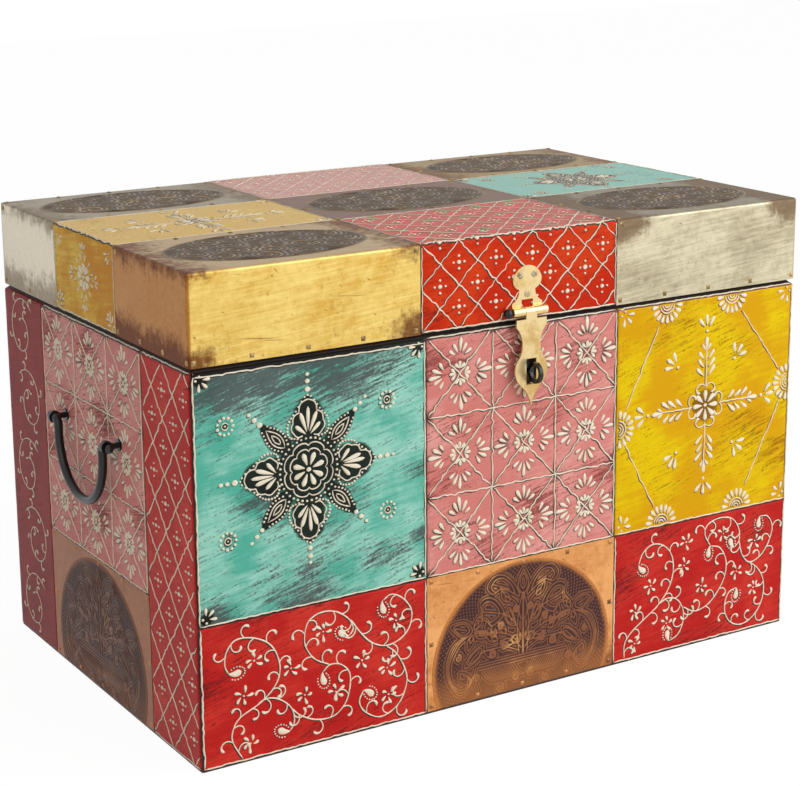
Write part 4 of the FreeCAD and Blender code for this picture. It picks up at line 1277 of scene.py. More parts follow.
def millimetres(node: str) -> tuple[np.ndarray, np.ndarray]:
    """A node's lowest and highest corners in millimetres."""
    low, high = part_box(node)
    return np.array(low) / MM, np.array(high) / MM


@dataclass(frozen=True)
class ChestSizes:
    """Sizes of the boards and sheets that the patches fit between, in millimetres."""

    half_width: float
    half_depth: float
    lid_floor: float
    lid_top: float
    front_columns: tuple[float, float]
    dado: float
    side_columns: tuple[float, float]
    lid_columns: tuple[float, float]
    lid_rows: tuple[float, float]
    corner_round: float = 2.0
    band: float = 5.0
    seam: float = 0.5
    overlap: float = 3.0

    @property
    def corner_cut(self) -> float:
        """Where a side's ruler reaches the middle of the rounded corner."""
        return self.corner_round * (1 - math.pi / 4)

    @classmethod
    def read(cls) -> "ChestSizes":
        """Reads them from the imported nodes."""
        low, high = millimetres("front_board")
        _, top_high = millimetres("lid_top_board")
        rail_low, _ = millimetres("lid_front_rail")
        copper_low, copper_high = millimetres("copper_sheet_front")
        end_low, end_high = millimetres("copper_sheet_left")
        _, brass_high = millimetres("brass_sheet_front_left")
        silver_low, _ = millimetres("silver_sheet_front_right")
        back_low, _ = millimetres("silver_sheet_back_left")
        return cls(half_width=high[0], half_depth=-low[1], lid_floor=rail_low[2], lid_top=top_high[2],
                   front_columns=(copper_low[0], copper_high[0]), dado=copper_high[2],
                   side_columns=(end_low[1], end_high[1]), lid_columns=(brass_high[0], silver_low[0]),
                   lid_rows=(brass_high[1], back_low[1]))


# Scrolling stems, drawn for a panel of 209 by 120 mm

SCROLL_PANEL = (209.0, 120.0)
SCROLL_STEMS = [
    [(35, 2), (26.5, 18), (26.5, 28), (33, 38), (52, 47), (65, 58), (70, 71), (67, 86), (59, 97), (45, 104),
     (31, 105), (23, 97), (21, 86), (24, 78), (32, 73)],
    [(50, 47), (59, 49), (70, 45), (80, 35), (82, 23), (78, 16), (68, 14)],
    [(80, 35), (88, 27), (102, 20), (118, 19), (129, 27), (134, 40), (134, 54), (126, 63), (116, 65),
     (109, 60), (106, 50)],
    [(116, 65), (102, 73), (94, 85), (93, 96), (97, 107), (108, 112), (122, 110), (134, 101), (138, 92),
     (134, 86), (126, 87)],
    [(136, 100), (144, 88), (155, 76), (169, 70), (183, 73), (192, 82), (194, 96), (186, 108), (175, 114),
     (166, 110), (163, 100)],
    [(169, 70), (179, 61), (187, 46), (189, 33), (183, 18), (173, 10), (161, 8), (148, 16), (143, 26),
     (147, 35), (156, 34)],
]
SCROLL_FLOWERS = [(47, 84), (80, 70), (37, 56), (42, 14), (110, 95), (146, 62), (170, 50), (92, 44),
                  (121, 40), (179, 90), (171, 26)]
RIGHT_STEMS = [
    [(14, 2), (14, 16), (22, 26), (38, 36), (54, 46), (66, 60), (71, 76), (68, 92), (58, 102), (45, 105),
     (34, 99), (29, 88), (33, 77)],
    [(54, 46), (64, 50), (76, 47), (84, 36), (84, 22), (78, 12), (68, 8), (61, 16)],
    [(84, 38), (98, 31), (114, 34), (126, 44), (135, 58), (136, 74), (128, 87), (116, 91), (107, 80)],
    [(116, 91), (109, 103), (112, 112), (126, 116), (142, 113), (151, 102), (152, 90), (146, 84), (136, 90)],
    [(152, 90), (156, 76), (166, 66), (180, 70), (190, 82), (194, 96), (188, 107), (178, 109), (171, 99)],
    [(166, 66), (177, 58), (185, 44), (184, 26), (174, 12), (158, 6), (143, 12), (136, 26), (140, 40),
     (150, 44), (155, 33)],
]
RIGHT_FLOWERS = [(86, 100), (84, 78), (44, 66), (26, 44), (26, 14), (106, 54), (132, 100), (150, 60),
                 (172, 86), (172, 40), (64, 26)]

# Where the paint is rubbed back: shares of the patch's width and height, a radius in millimetres, a strength

TURQUOISE_WEAR = ((0.08, 0.97, 60, 1.2), (0.3, 0.96, 60, 0.95), (0.56, 0.97, 70, 1.1), (0.74, 0.95, 34, 0.75),
                  (0.42, 0.8, 40, 0.6), (0.1, 0.76, 28, 0.6), (0.27, 0.47, 26, 1.05), (0.33, 0.38, 18, 0.9),
                  (0.64, 0.4, 32, 0.7), (0.58, 0.3, 22, 0.6), (0.97, 0.46, 16, 0.85), (0.97, 0.2, 14, 0.9),
                  (0.5, 0.1, 50, 0.65), (0.8, 0.14, 28, 0.7), (0.07, 0.03, 24, 1.0), (0.4, 0.04, 44, 0.75))
PINK_WEAR = ((0.05, 0.9, 30, 0.8), (0.08, 0.4, 34, 0.75), (0.45, 0.9, 34, 0.7), (0.55, 0.2, 38, 0.75),
             (0.6, 0.62, 44, 0.6), (0.93, 0.3, 28, 0.75), (0.3, 0.08, 30, 0.65), (0.25, 0.62, 34, 0.6),
             (0.8, 0.8, 30, 0.55))
YELLOW_WEAR = ((0.3, 0.88, 50, 0.45), (0.75, 0.4, 44, 0.65), (0.5, 0.5, 44, 0.45), (0.93, 0.25, 34, 0.7),
               (0.4, 0.2, 40, 0.4), (0.75, 0.75, 34, 0.4), (0.6, 0.3, 30, 0.4))
RED_WEAR = ((0.03, 0.6, 34, 0.7), (0.2, 0.98, 50, 0.45), (0.55, 0.02, 70, 0.5), (0.85, 0.8, 30, 0.5),
            (0.6, 0.55, 30, 0.3))
LID_WEAR = ((0.05, 0.05, 20, 0.6), (0.95, 0.4, 20, 0.5), (0.5, 0.36, 30, 0.35), (0.55, 0.1, 24, 0.4),
            (0.1, 0.36, 20, 0.5))


@dataclass
class Patchwork:
    """The painted patches of the chest and its lid."""

    sizes: ChestSizes
    plain_pitch: float = 5.0
    foot: float = 1.0
    bevel: float = field(init=False)
    lower: tuple[float, float] = field(init=False)
    upper: tuple[float, float] = field(init=False)
    whole: tuple[float, float] = field(init=False)

    def __post_init__(self) -> None:
        """Works out the rows of the body's patches; the upper one ends on the bevel."""
        sizes = self.sizes
        self.bevel = sizes.lid_floor - sizes.seam - sizes.band
        self.lower = (self.foot, sizes.dado)
        self.upper = (sizes.dado, self.bevel + sizes.overlap)
        self.whole = (self.foot, self.upper[1])

    def build(self) -> None:
        """Builds every side in turn."""
        self.front(self.body_face((-1, -1), (1, 0, 0)))
        self.end("left", self.body_face((-1, 1), (0, -1, 0)), False)
        self.end("right", self.body_face((1, -1), (0, 1, 0)), True)
        self.back(self.body_face((1, 1), (-1, 0, 0)))
        self.lid()

    def body_face(self, corner: tuple[int, int], along: tuple[int, int, int]) -> WrappedFace:
        """One side of the body, whose ruler starts at its lower left corner."""
        sizes = self.sizes
        origin = (corner[0] * sizes.half_width, corner[1] * sizes.half_depth, 0)
        width = 2 * (sizes.half_width if along[0] else sizes.half_depth)
        return WrappedFace(origin, along, (0, 0, 1), width, sizes.corner_round, self.bevel)

    def star_patch(self, name: str, face: Face, span: tuple[float, float], finish: PaintFinish, seed: int,
                   sides: str) -> None:
        """A pink patch with nine star cells and a line along some of its sides."""
        patch = Patch(name, face, span, self.upper, Body.CHEST, finish, seed, worn=PINK_WEAR, halo=0.55,
                      halo_reach=4.5)
        patch.ornament.border(sides)
        patch.ornament.star_cells(3, 3)
        patch.build()

    def front(self, face: Face) -> None:
        """Mandala, star lattice and bouquet above; scrolls on both sides of the copper below."""
        sizes = self.sizes
        first, second = (x + sizes.half_width for x in sizes.front_columns)
        left, right = (sizes.corner_cut, first), (second, 2 * sizes.half_width - sizes.corner_cut)
        patch = Patch("front_turquoise", face, left, self.upper, Body.CHEST, TURQUOISE, 11,
                      worn=TURQUOISE_WEAR)
        middle = (99.0, 112.0)
        patch.ornament.border("lrb")
        patch.ornament.dark_top(4.2)
        patch.ornament.mandala(middle)
        patch.ornament.rosettes(middle, (72, 46), 6.8)
        patch.ornament.corner_sprigs(10)
        patch.build()
        self.star_patch("front_pink", face, (first, second), PINK, 12, "trb")
        patch = Patch("front_yellow", face, right, self.upper, Body.CHEST, YELLOW, 13, "brown", YELLOW_WEAR)
        self.yellow_bouquet(patch.ornament)
        patch.build()
        for name, span, seed, stems, flowers in (("left", left, 14, SCROLL_STEMS, SCROLL_FLOWERS),
                                                 ("right", right, 15, RIGHT_STEMS, RIGHT_FLOWERS)):
            patch = Patch(f"front_red_{name}", face, span, self.lower, Body.CHEST, RED, seed, worn=RED_WEAR)
            patch.ornament.border("lrb")
            patch.ornament.scroll(stems, flowers, SCROLL_PANEL)
            patch.build()

    @staticmethod
    def yellow_bouquet(drawing: Ornament) -> None:
        """The bouquet with half flowers on the border and lines that join them."""
        wide, tall = drawing.width, drawing.height
        drawing.border("trb")
        drawing.bouquet((wide * 0.5, tall * 0.51), wide * 0.415, tall * 0.42)
        left, right = (2, tall * 0.47), (wide - 3, tall * 0.55)
        joined = (((wide * 0.27, tall - 3), -RIGHT_ANGLE, left),
                  ((wide * 0.64, tall - 3), -RIGHT_ANGLE, right),
                  ((wide * 0.26, 3), RIGHT_ANGLE, left),
                  ((wide * 0.7, 3), RIGHT_ANGLE, right))
        for place, angle, _ in (*joined, (left, 0.0, None), (right, math.pi, None)):
            drawing.border_rosette(place, angle, 17)
        for start, _, end in joined:
            near, way = np.array(start), np.subtract(end, start)
            drawing.line(near + 0.17 * way, near + 0.85 * way, LINE * 0.9, 0.35)
        drawing.corner_sprigs(11, False)

    def end(self, side: str, face: Face, flip: bool) -> None:
        """A scroll strip, the star lattice over the copper, and a lattice strip nearest the front.

        Args:
            side: left or right.
            face: the end's face.
            flip: whether its ruler starts at the front instead of the back.
        """
        sizes = self.sizes
        columns = tuple(sorted(sizes.half_depth + (y if flip else -y) for y in sizes.side_columns))
        outer = [(sizes.corner_cut, columns[0]), (columns[1], 2 * sizes.half_depth - sizes.corner_cut)]
        scroll_span, lattice_span = outer[::-1] if flip else outer
        dark_red, pink, red = (replace(paint, grain=Grain.ALONG_Y) for paint in (DARK_RED, PINK, RED))
        patch = Patch(f"{side}_scroll", face, scroll_span, self.whole, Body.CHEST, dark_red, 21)
        patch.ornament.vine(5)
        patch.build()
        self.star_patch(f"{side}_pink", face, columns, pink, 22, "ltrb")
        patch = Patch(f"{side}_lattice", face, lattice_span, self.whole, Body.CHEST, red, 23)
        patch.ornament.border("tbr" if flip else "tb")
        patch.ornament.lattice(38.0, 46.0)
        patch.build()

    def back(self, face: Face) -> None:
        """Three plain painted columns with border lines, a guess, as the back isn't seen."""
        sizes = self.sizes
        wide = 2 * sizes.half_width
        edges = (sizes.corner_cut, wide / 3, wide * 2 / 3, wide - sizes.corner_cut)
        for number, finish in enumerate((YELLOW, RED, TURQUOISE), 1):
            span = (edges[number - 1], edges[number])
            patch = Patch(f"back_panel_{number}", face, span, self.whole, Body.CHEST, finish, 30 + number,
                          skin_pitch=self.plain_pitch)
            patch.ornament.border()
            patch.build()

    def lid(self) -> None:
        """The four painted patches that fold over the middle of each side of the lid."""
        sizes = self.sizes
        rise = sizes.lid_top - sizes.lid_floor
        wide, deep = 2 * sizes.half_width, 2 * sizes.half_depth
        columns = tuple(x + sizes.half_width for x in sizes.lid_columns)
        rows = tuple(y + sizes.half_depth for y in sizes.lid_rows)
        from_right, from_back = (wide - columns[1], wide - columns[0]), (deep - rows[1], deep - rows[0])
        rose = replace(PINK, name="rose_paint")
        ochre, turquoise = (replace(paint, grain=Grain.ALONG_Y) for paint in (OCHRE, TURQUOISE))
        sides = {
            "front": ((-1, -1), (1, 0, 0), columns, rows[0], ORANGE_RED),
            "back": ((1, 1), (-1, 0, 0), from_right, from_back[0], rose),
            "left": ((-1, 1), (0, -1, 0), from_back, columns[0], ochre),
            "right": ((1, -1), (0, 1, 0), rows, from_right[0], turquoise),
        }
        for seed, (side, (corner, along, span, reach, finish)) in enumerate(sides.items(), 41):
            origin = (corner[0] * sizes.half_width, corner[1] * sizes.half_depth, sizes.lid_floor)
            face = FoldedFace(origin, along, (0, 0, 1), rise, sizes.corner_round)
            around = rise - sizes.corner_round * (2 - RIGHT_ANGLE) + reach
            patch = Patch(f"lid_{side}_patch", face, span, (0.0, around), Body.LID, finish, seed,
                          worn=LID_WEAR)
            patch.ornament.border()
            self.lid_pattern(side, patch.ornament, rise)
            patch.build()

    @staticmethod
    def lid_pattern(side: str, drawing: Ornament, rise: float) -> None:
        """Lattices in front and behind; flowers on the ends, with a bouquet or a mandala over them.

        Args:
            side: front, back, left or right.
            drawing: the patch's ornament, whose strokes past the edge are made finer.
            rise: how far up the patch the lid's edge is.
        """
        wide = drawing.width
        drawing.line((2, rise), (wide - 2, rise))
        on_side, on_top = (wide / 2, rise / 2), (wide / 2, (rise + drawing.height) / 2)
        if side in ("front", "back"):
            drawing.lattice(36.0, 36.5)
        else:
            drawing.flower(np.array(on_side), 12, 8)
            drawing.petals(on_side, 13.5, 20, 12, 1.2, 0.26)
            for angle in QUARTERS:
                drawing.sprig(on_side + 20.5 * compass(angle), angle, 9)
            for u, angle in ((9, 0.25), (wide - 9, 0.75)):
                drawing.sprig(np.array([u, 9.0]), angle * math.pi, 9)
                drawing.sprig(np.array([u, rise - 9.0]), -angle * math.pi, 9)
            drawing.corner_sprigs(9, side == "right")
        if side == "left":
            drawing.bouquet(on_top, wide * 0.43, (drawing.height - rise) * 0.43)
        if side == "right":
            drawing.mandala(on_top, 0.78)
            drawing.rosettes(on_top, (wide * 0.36, (drawing.height - rise) * 0.36), 6.0)
        drawing.strokes = [(p, w if p[:, 1].mean() < rise + 1 else 0.7 * w) for p, w in drawing.strokes]


# Embossed metal


@dataclass
class Medallion:
    """An embossed oval on a metal sheet, cut off where it meets the sheet's edge."""

    name: str
    face: Face
    centre: tuple[float, float]
    radii: tuple[float, float]
    body: Body
    slot: Slot
    finish: EmbossedFinish
    floor: float = -math.inf
    base: float = 0.6
    depth: float = 0.5
    pitch: float = 0.6
    contour: float = 2.3
    contour_reach: float = 2.9
    rim_rise: float = 0.1
    rim_reach: float = 2.0
    fade_reach: float = 9.0
    map_pitch: float = 0.6
    stipple: float = 1.35

    def build(self, drawing: Ornament) -> None:
        """Lays the relief out row by row in the oval.

        Args:
            drawing: strokes in millimetres from the oval's lower left corner.
        """
        across, tall = self.radii
        low = max(-tall, self.floor - self.centre[1])
        rows = np.linspace(low, tall * 0.9995, int((tall - low) / self.pitch))
        columns = np.linspace(-1, 1, int(2 * across / self.pitch))
        share, height = np.meshgrid(columns, rows, indexing="ij")
        reach = across * np.sqrt(np.maximum(1 - (height / tall) ** 2, 1e-5))
        u, v = share * reach, height
        inward = (1 - np.hypot(u / across, v / tall)) * across
        shown = self.relief(drawing, u, v, inward)
        rise = self.rim_rise + self.depth * shown * np.clip(inward / self.rim_reach, 0.0, 1.0)
        rise[[0, -1], :] = 0.0
        rise[:, [0, -1]] = 0.0
        flat = np.stack([u + self.centre[0], v + self.centre[1], self.base + rise], -1)
        index = np.arange(u.size).reshape(u.shape)
        under = np.concatenate([index[:, 0], index[-1, 1:], index[-2::-1, -1], index[0, -2:0:-1]])[::-1]
        values = {"relief": shown, "fade": np.clip(inward / self.fade_reach, 0.0, 1.0)}
        surface = Surface(self.face.to_chest(flat).reshape(-1, 3), weave(index), under[None], values)
        add_piece(self.name, surface, self.finish, self.body)

    def relief(self, drawing: Ornament, u: np.ndarray, v: np.ndarray, inward: np.ndarray) -> np.ndarray:
        """Double lines along the drawing's strokes, and a ground stippled in rows that follow the rim.

        Args:
            drawing: the strokes.
            u: places across, from the oval's middle.
            v: places up, from the oval's middle.
            inward: about how far each place lies inside the rim.

        Returns:
            The height at each place, from 0 to 1.
        """
        across, tall = self.radii
        nearness = ReliefMap(2 * across, 2 * tall, self.map_pitch)
        for points, _ in drawing.strokes:
            nearness.stamp(points, np.full(len(points), self.contour_reach), True)
        near = nearness.sample(u + across, v + tall)
        away = (1 - near) * self.contour_reach
        lines = (0.5 + 0.5 * np.cos(2 * np.pi * away / self.contour)) * (0.65 + 0.35 * near)
        around = np.sin(np.arctan2(v, u) * across * self.stipple)
        dots = 0.72 * np.maximum(np.sin(inward * self.stipple) * around, 0.0) ** 0.7
        return np.where(near > 0.02, lines, dots)


VASE_STEMS = (
    ((2, 8), (12, 21), (28, 27), (50, 31)), ((2, 18), (9, 33), (20, 42), (36, 47)),
    ((2, 34), (8, 50), (18, 58), (24, 68)), ((4, 6), (18, 12), (32, 13), (44, 12)),
    ((0.4, 3), (0.6, 25), (0.4, 45), (0.3, 58)), ((4.0, 3), (6.0, 25), (4.0, 45), (0.3, 58)),
)
VASE_LEAVES = (
    ((4, 55), (9, 67), (20, 77), (31, 77), (37, 69), (31, 62), (24, 65), (15, 62)),
    ((20, 42), (27, 55), (36, 60), (44, 57), (43, 49), (47, 42), (38, 40), (32, 34)),
    ((52, 33), (56, 41), (64, 44), (74, 42), (68, 34), (60, 29)),
    ((8, 30), (10, 40), (15, 47), (19, 40), (15, 32)),
    ((40, 18), (47, 17), (56, 10), (60, 2), (51, 4), (43, 10)),
)
# The drooping leaf's knots, and how they move from one of its lines to the next
VASE_DROOP = np.array([(56, 30), (67, 23), (75, 8), (73, -8), (64, -17), (55, -13), (57, -5)])
VASE_SPREAD = np.array([(1, 0), (1, 0), (0.6, 0), (0.5, 0), (0, -1), (-0.4, 0), (0, 0)])
# Place and bearing
VASE_BUDS = (((50, 34), 2.2), ((50, 32), 3.7), ((52, 30), 5.0), ((18, 24), 1.0), ((26, 20), 0.5),
             ((34, 26), 1.3), ((10, 14), 0.3), ((64, -2), 4.2), ((28, 6), 0.5), ((14, 52), 0.9))
# Place, radius and bearing
VASE_CURLS = (((8, 18), 6.5, 2.5), ((32, 8), 5, 1.0), ((7, 45), 4, 4.0), ((31, 27), 4.5, 2.0),
              ((20, 13), 5, 0.5), ((42, 30), 4, 3.0), ((22, 33), 4, 5.0), ((8, -17), 5, 1.0),
              ((66, 12), 4, 1.5), ((48, -10), 4.5, 0.0), ((24, -24), 5, 2.0))


def vase_drawing(across: float, tall: float) -> Ornament:
    """A footed bowl with a spear leaf, curling leaves, flowers and long drooping leaves on both sides."""
    drawing = Ornament(2 * across, 2 * tall, 61)
    middle = np.array([across, tall])
    thin = 0.62

    def doubled(outline: np.ndarray) -> None:
        """A closed outline with a smaller one inside it and a petal in the middle."""
        heart = outline.mean(0)
        for share in (1.0, 0.72):
            drawing.curve(middle + heart + share * (outline - heart), thin, True, 1.5)
        lean = outline[len(outline) // 2] - outline[0]
        drawing.drop(middle + heart - 0.22 * lean, math.atan2(lean[1], lean[0]), 0.5 * np.hypot(*lean), 1.6)

    for half in (5.5, 3.4):
        drawing.leaf(middle + (0, 70 - 2.6 * half), RIGHT_ANGLE, 4.2 * half, half, thin)
    for height in (1.5, -1.0, -3.6):
        drawing.line(middle + (-45, height), middle + (45, height), thin, 0.05)
    for sign in (1.0, -1.0):
        side = np.array([sign, 1.0])
        for knots in VASE_STEMS:
            drawing.curve(middle + knots * side, thin)
        for knots in VASE_LEAVES:
            doubled(knots * side)
        for shift in (0.0, 2.6, 5.2):
            drawing.curve(middle + (VASE_DROOP + shift * VASE_SPREAD) * side, thin)
        for place, bearing in VASE_BUDS:
            angle = bearing if sign > 0 else math.pi - bearing
            for half in (3.4, 1.8):
                drawing.leaf(middle + place * side, angle, 4.2 * half, half, thin)
        for place, radius, bearing in VASE_CURLS:
            angle = bearing if sign > 0 else math.pi - bearing
            for share, width in ((1.0, thin), (0.72, thin * 0.8)):
                drawing.spiral(middle + place * side, radius * share, angle, sign, width)
        for start in np.arange(9, 43, 2.6):
            drawing.curve(middle + np.array([(start, -5), (start - 4, -11), (start - 10, -17)]) * side, thin)
        for offset in (0.0, 2.4):
            knots = np.array([(46, 0), (49, -11), (46, -22), (49, -30)]) + (offset, 0)
            drawing.curve(middle + knots * side, thin)
    return drawing


def oval_drawing(across: float, tall: float) -> Ornament:
    """A flower in two rings of spirals that follow the oval."""
    drawing = Ornament(2 * across, 2 * tall, 62)
    middle = np.array([across, tall])
    stretch = np.array([1.0, tall / across])
    drawing.flower(middle, across * 0.13, 8)
    for share, count, size in ((0.38, 6, 0.15), (0.74, 11, 0.15)):
        for i in range(count):
            bearing = 2 * math.pi * (i + share) / count
            place = middle + across * share * compass(bearing) * stretch
            drawing.spiral(place, across * size, bearing, 1.0 if i % 2 else -1.0, 0.75)
    return drawing


@dataclass
class MetalWork:
    """The metal sheets of the chest and the lid, with their embossed medallions and pins."""

    sizes: ChestSizes
    dome_radii: tuple[float, float] = (92.0, 87.0)
    dome_middle: float = 31.0

    def build(self) -> None:
        """Dresses the sheets and adds the medallions."""
        self.lid_sheets()
        self.copper()
        dress(CHEST_PINS, "chest_sheet_pins")
        dress(LID_PINS, "lid_sheet_pins")

    def oval(self, node: str, slot: Slot, shares: tuple[float, float]) -> None:
        """An embossed oval in the middle of a sheet's top.

        Args:
            node: the sheet.
            slot: the sheet's material slot; kept by the medallion but not used.
            shares: the oval's radii as shares of the sheet's width and depth.
        """
        low, high = millimetres(node)
        top = Face((0, 0, self.sizes.lid_top), (1, 0, 0), (0, 1, 0))
        radii = tuple((high - low)[:2] * shares)
        oval = Medallion(f"{node}_oval", top, tuple((low + high)[:2] / 2), radii, Body.LID, slot, OVALS,
                         pitch=0.68, contour=4.4, contour_reach=9.0)
        oval.build(oval_drawing(*radii))

    def lid_sheets(self) -> None:
        """Brass and silver in the lid's corners, each with an oval on top."""
        sizes = self.sizes
        brass, silver = ("#F2D67E", "#D2A038", "#6A2C00"), ("#DCD2B2", "#A2967A", "#6A4A22")
        # The last two colours of each row are the painted light and shade of the end face and the painted
        # reflection on the top.
        kinds = {
            "brass_sheet_front_left": (*brass, 0.9, Slot.BRASS, sizes.lid_floor, "#A85C08", "#B49880"),
            "silver_sheet_front_right": (*silver, 0.75, Slot.SILVER, sizes.lid_top, "#A69C7C", "#5E4C38"),
            "silver_sheet_back_left": (*silver, 0.6, Slot.SILVER, sizes.lid_floor, "#F2E8D2", "#8C7A64"),
            "brass_sheet_back_right": (*brass, 0.75, Slot.BRASS, sizes.lid_floor, "#A85C08", "#6E5030"),
        }
        for node, (base, dull, rust, rusting, slot, edge_z, end, top) in kinds.items():
            low, high = millimetres(node)
            on_left, in_front = low[0] < -sizes.half_width + 1, low[1] < -sizes.half_depth + 1
            inner, outer = (high[0], low[0]) if on_left else (low[0], high[0])
            corner = (inner * MM, (high[1] if in_front else low[1]) * MM, edge_z * MM)
            brushing = 0.9 if slot is Slot.SILVER else 0.8
            finish = SheetFinish(f"{node}_metal", base, dull, rust, rusting, corner, brushing, outer * MM,
                                 end, top)
            dress(finish, node)
            self.oval(node, slot, (0.43, 0.4))

    def copper(self) -> None:
        """Copper low on the front and the ends, and in the middle of the lid; the ends' copper and domes are
        painted darker, as shade.
        """
        wide, deep = self.sizes.half_width, self.sizes.half_depth
        # The second tones are the front's copper painted darker, as shade, for the ends.
        bright, dark = ("#F4B270", "#BC6A26", "#7A3410"), ("#A0643A", "#7A4628", "#3E2014")
        kinds = {
            "copper_sheet_front": ((0, -deep, 0), (1, 0, 0), bright, DOMES),
            "copper_sheet_left": ((-wide, 0, 0), (0, -1, 0), dark, END_DOMES_IN_PAINTED_SHADE),
            "copper_sheet_right": ((wide, 0, 0), (0, 1, 0), dark, END_DOMES_IN_PAINTED_SHADE),
        }
        for node, (origin, along, tones, embossed) in kinds.items():
            low, high = millimetres(node)
            corner = (high[0] * MM if along[0] else OUT_OF_REACH, OUT_OF_REACH, 0.0)
            dress(SheetFinish(f"{node}_metal", *tones, 0.7, corner, 0.1), node)
            middle = (np.dot((low + high) / 2, along), self.dome_middle)
            face = Face(origin, along, (0, 0, 1))
            dome = Medallion(f"{node}_dome", face, middle, self.dome_radii, Body.CHEST, Slot.COPPER, embossed,
                             low[2])
            dome.build(vase_drawing(*self.dome_radii))
        _, high = millimetres("copper_sheet_top")
        corner = (OUT_OF_REACH, high[1] * MM, OUT_OF_REACH)
        tones = ("#8A5634", "#6A4430", "#2E1C14")
        # Its top tint is a painted reflection.
        dress(SheetFinish("lid_copper_metal", *tones, 0.7, corner, 0.4, top="#6A4228"), "copper_sheet_top")
        self.oval("copper_sheet_top", Slot.COPPER, (0.45, 0.43))


@dataclass
class Joinery:
    """The boards and the hardware, which stays as it was made but for the hasp's screws."""

    head: float = 3.0
    cad_rise: float = 1.2
    slot_half: float = 0.5
    slot_depth: float = 0.6
    sides: int = 48

    def build(self) -> None:
        """Dresses the boards, the hasp, the handles and the hinges by the words in their names."""
        words = {"hasp_pin": IRON, "board": BOARDS, "rail": BOARDS, "hasp": BRASS, "staple": IRON,
                 "handle": IRON, "hinge": STEEL}
        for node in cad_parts:
            finish = next((finish for word, finish in words.items() if word in node), None)
            if finish and node != "hasp_screws":
                dress(finish, node)
        self.hasp_screws()

    def hasp_screws(self) -> None:
        """Flat slotted heads in place of the hasp's plain ones: rings of points, sunk where the slot runs."""
        low, high = millimetres("hasp_screws")
        rings = np.array([(0.02, 0.75), (0.8, 0.75), (1.6, 0.7), (2.4, 0.55), (2.9, 0.3), (self.head, 0.0),
                          (self.head, -0.4)])
        turn = np.linspace(0, 2 * np.pi, self.sides, endpoint=False)
        across = rings[:, :1] * np.cos(turn)
        upright = rings[:, :1] * np.sin(turn)
        middle = (low[0] + high[0]) / 2
        spread = (high[0] - low[0]) / 2 - self.head
        seats = ((middle - spread, high[2] - self.head, 0.5), (middle + spread, high[2] - self.head, 2.0),
                 (middle, low[2] + self.head, 1.2))
        points, quads, caps = [], [], []
        for number, (x, z, lean) in enumerate(seats):
            slot = np.abs(across * math.sin(lean) - upright * math.cos(lean)) < self.slot_half
            rise = rings[:, 1:] - self.slot_depth * slot * (rings[:, 1:] > 0)
            place = np.stack([x + across, low[1] + self.cad_rise - rise, z + upright], -1)
            index = number * across.size + np.arange(across.size).reshape(across.shape)
            beside = np.roll(index, -1, axis=1)
            points.append(place.reshape(-1, 3))
            quads.append(np.stack([index[:-1], index[1:], beside[1:], beside[:-1]], -1).reshape(-1, 4))
            caps.append(np.stack([index[0], index[-1, ::-1]]))
        surface = Surface(np.concatenate(points) * MM, np.concatenate(quads), np.concatenate(caps))
        add_piece("hasp_slotted_screws", surface, SCREW_METAL, Body.LID, ("hasp_screws",))


# Camera, floor and light


@dataclass(frozen=True)
class PhotoCamera:
    """A long lens from the front left, a little above, with the frame moved down."""

    lens: float = 91.1
    sensor: float = 36.0
    azimuth: float = -31.583
    elevation: float = 13.437
    roll: float = -0.438
    distance: float = 1.8355
    target: tuple[float, float, float] = (0.0018, 0.0, 0.2744)
    shift_y: float = -0.07

    def build(self) -> None:
        """Turns the camera's three directions into its matrix."""
        turn, lift, tip = (math.radians(a) for a in (self.azimuth, self.elevation, self.roll))
        back = Vector((math.sin(turn) * math.cos(lift), -math.cos(turn) * math.cos(lift), math.sin(lift)))
        right = (-back).cross(Vector((0, 0, 1))).normalized()
        above = right.cross(-back)
        tipped = right * math.cos(tip) + above * math.sin(tip)
        upright = above * math.cos(tip) - right * math.sin(tip)
        data = bpy.data.cameras.new("photo_camera")
        data.lens = self.lens
        data.sensor_width = self.sensor
        data.shift_y = self.shift_y
        camera = linked("photo_camera", data)
        camera.matrix_world = (Matrix.Translation(Vector(self.target) + back * self.distance)
                               @ Matrix((tipped, upright, back)).transposed().to_4x4())
        bpy.context.scene.camera = camera


@dataclass(frozen=True)
class Lamp:
    """A square lamp turned towards the chest."""

    name: str
    place: tuple[float, float, float]
    size: float
    power: float
    tint: tuple[float, float, float] = (1.0, 1.0, 1.0)
    aim: tuple[float, float, float] = (0.0, 0.0, 0.2)

    def build(self) -> None:
        """Adds the lamp to the scene."""
        data = bpy.data.lights.new(self.name, "AREA")
        data.color = self.tint
        data.size = self.size
        data.energy = self.power
        lamp = linked(self.name, data)
        lamp.location = self.place
        lamp.rotation_mode = "QUATERNION"
        lamp.rotation_quaternion = (Vector(self.aim) - Vector(self.place)).to_track_quat("-Z", "Y")


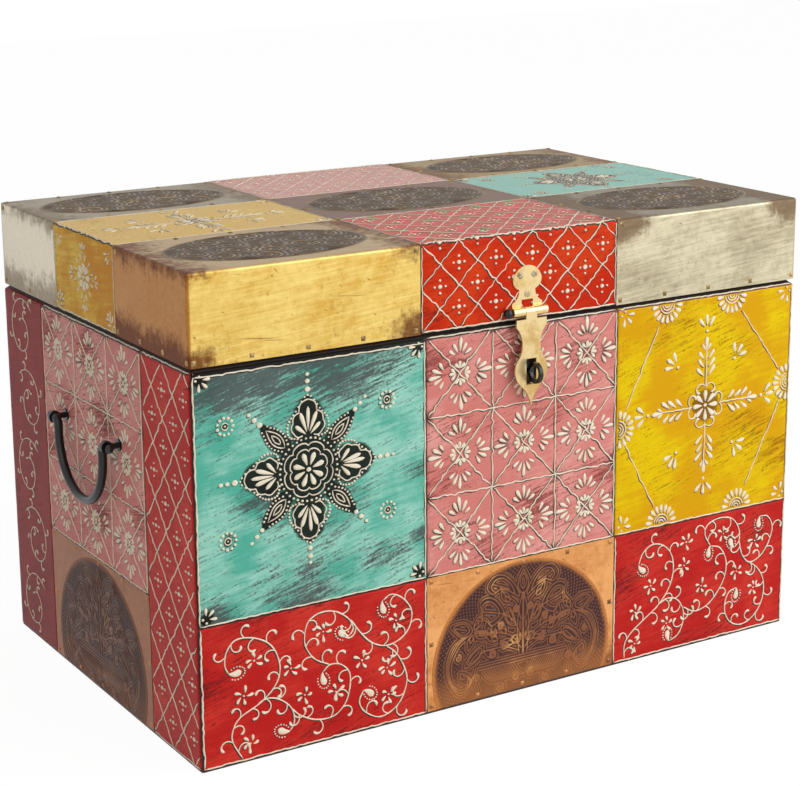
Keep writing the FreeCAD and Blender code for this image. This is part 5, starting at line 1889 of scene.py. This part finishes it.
LAMPS = (
    Lamp("key_lamp", (1.9, -2.3, 1.7), 2.8, 73.0),
    Lamp("fill_lamp", (-2.2, -2.0, 1.6), 1.8, 10.0, (1.0, 0.88, 0.74)),
)


@dataclass(frozen=True)
class Studio:
    """A white floor and surroundings, a large lamp on the right and a weaker one on the left."""

    surroundings: float = 0.3
    floor_half: float = 6.0
    floor_drop: float = 0.0005
    floor_grey: float = 0.86
    glow: float = 1.06
    glow_share: float = 0.9

    def build(self) -> None:
        """Makes the world, the floor and the lamps."""
        bpy.context.scene.view_settings.view_transform = "Standard"
        self.world()
        self.floor()
        for lamp in LAMPS:
            lamp.build()

    def world(self) -> None:
        """White to the eye and in reflections, dimmer as a light."""
        world = bpy.data.worlds.new("studio")
        world.use_nodes = True
        nodes = Nodes(world.node_tree)
        ground = world.node_tree.nodes["Background"]
        nodes.feed(ground.inputs["Color"], (1, 1, 1, 1))
        nodes.feed(ground.inputs["Strength"], self.surroundings + (1 - self.surroundings) * nodes.seen())
        bpy.context.scene.world = world

    def floor(self) -> None:
        """A wide slab, white to the eye and in reflections but for a tenth, which keeps the lamps' shadow."""
        half, grey = self.floor_half, self.floor_grey
        points = np.array([(x, y, -self.floor_drop) for x in (-half, half) for y in (-half, half)])
        mesh = Surface(points, np.array([[0, 2, 3, 1]])).to_mesh("floor")
        floor = linked("floor", mesh)
        shader = Shader("floor_white")
        shader.close(Base_Color=(grey, grey, grey, 1.0), Roughness=0.9)
        glow = shader.node("ShaderNodeEmission", {}, {"Color": (1, 1, 1, 1), "Strength": self.glow})
        plain = Shade(shader, shader.main.outputs[0])
        shares = {0: self.glow_share * shader.seen(), 1: plain, 2: glow}
        mixed = shader.node("ShaderNodeMixShader", {}, shares)
        shader.feed(shader.tree.nodes["Material Output"].inputs["Surface"], mixed)
        mesh.materials.append(shader.material)


def main() -> None:
    """Builds the chest's looks, part by part, after logging the sizes that it reads."""
    sizes = ChestSizes.read()
    LOG.info("sizes: %s", sizes)
    PhotoCamera().build()
    Studio().build()
    Joinery().build()
    MetalWork(sizes).build()
    Patchwork(sizes).build()


if __name__ == "__main__":
    main()
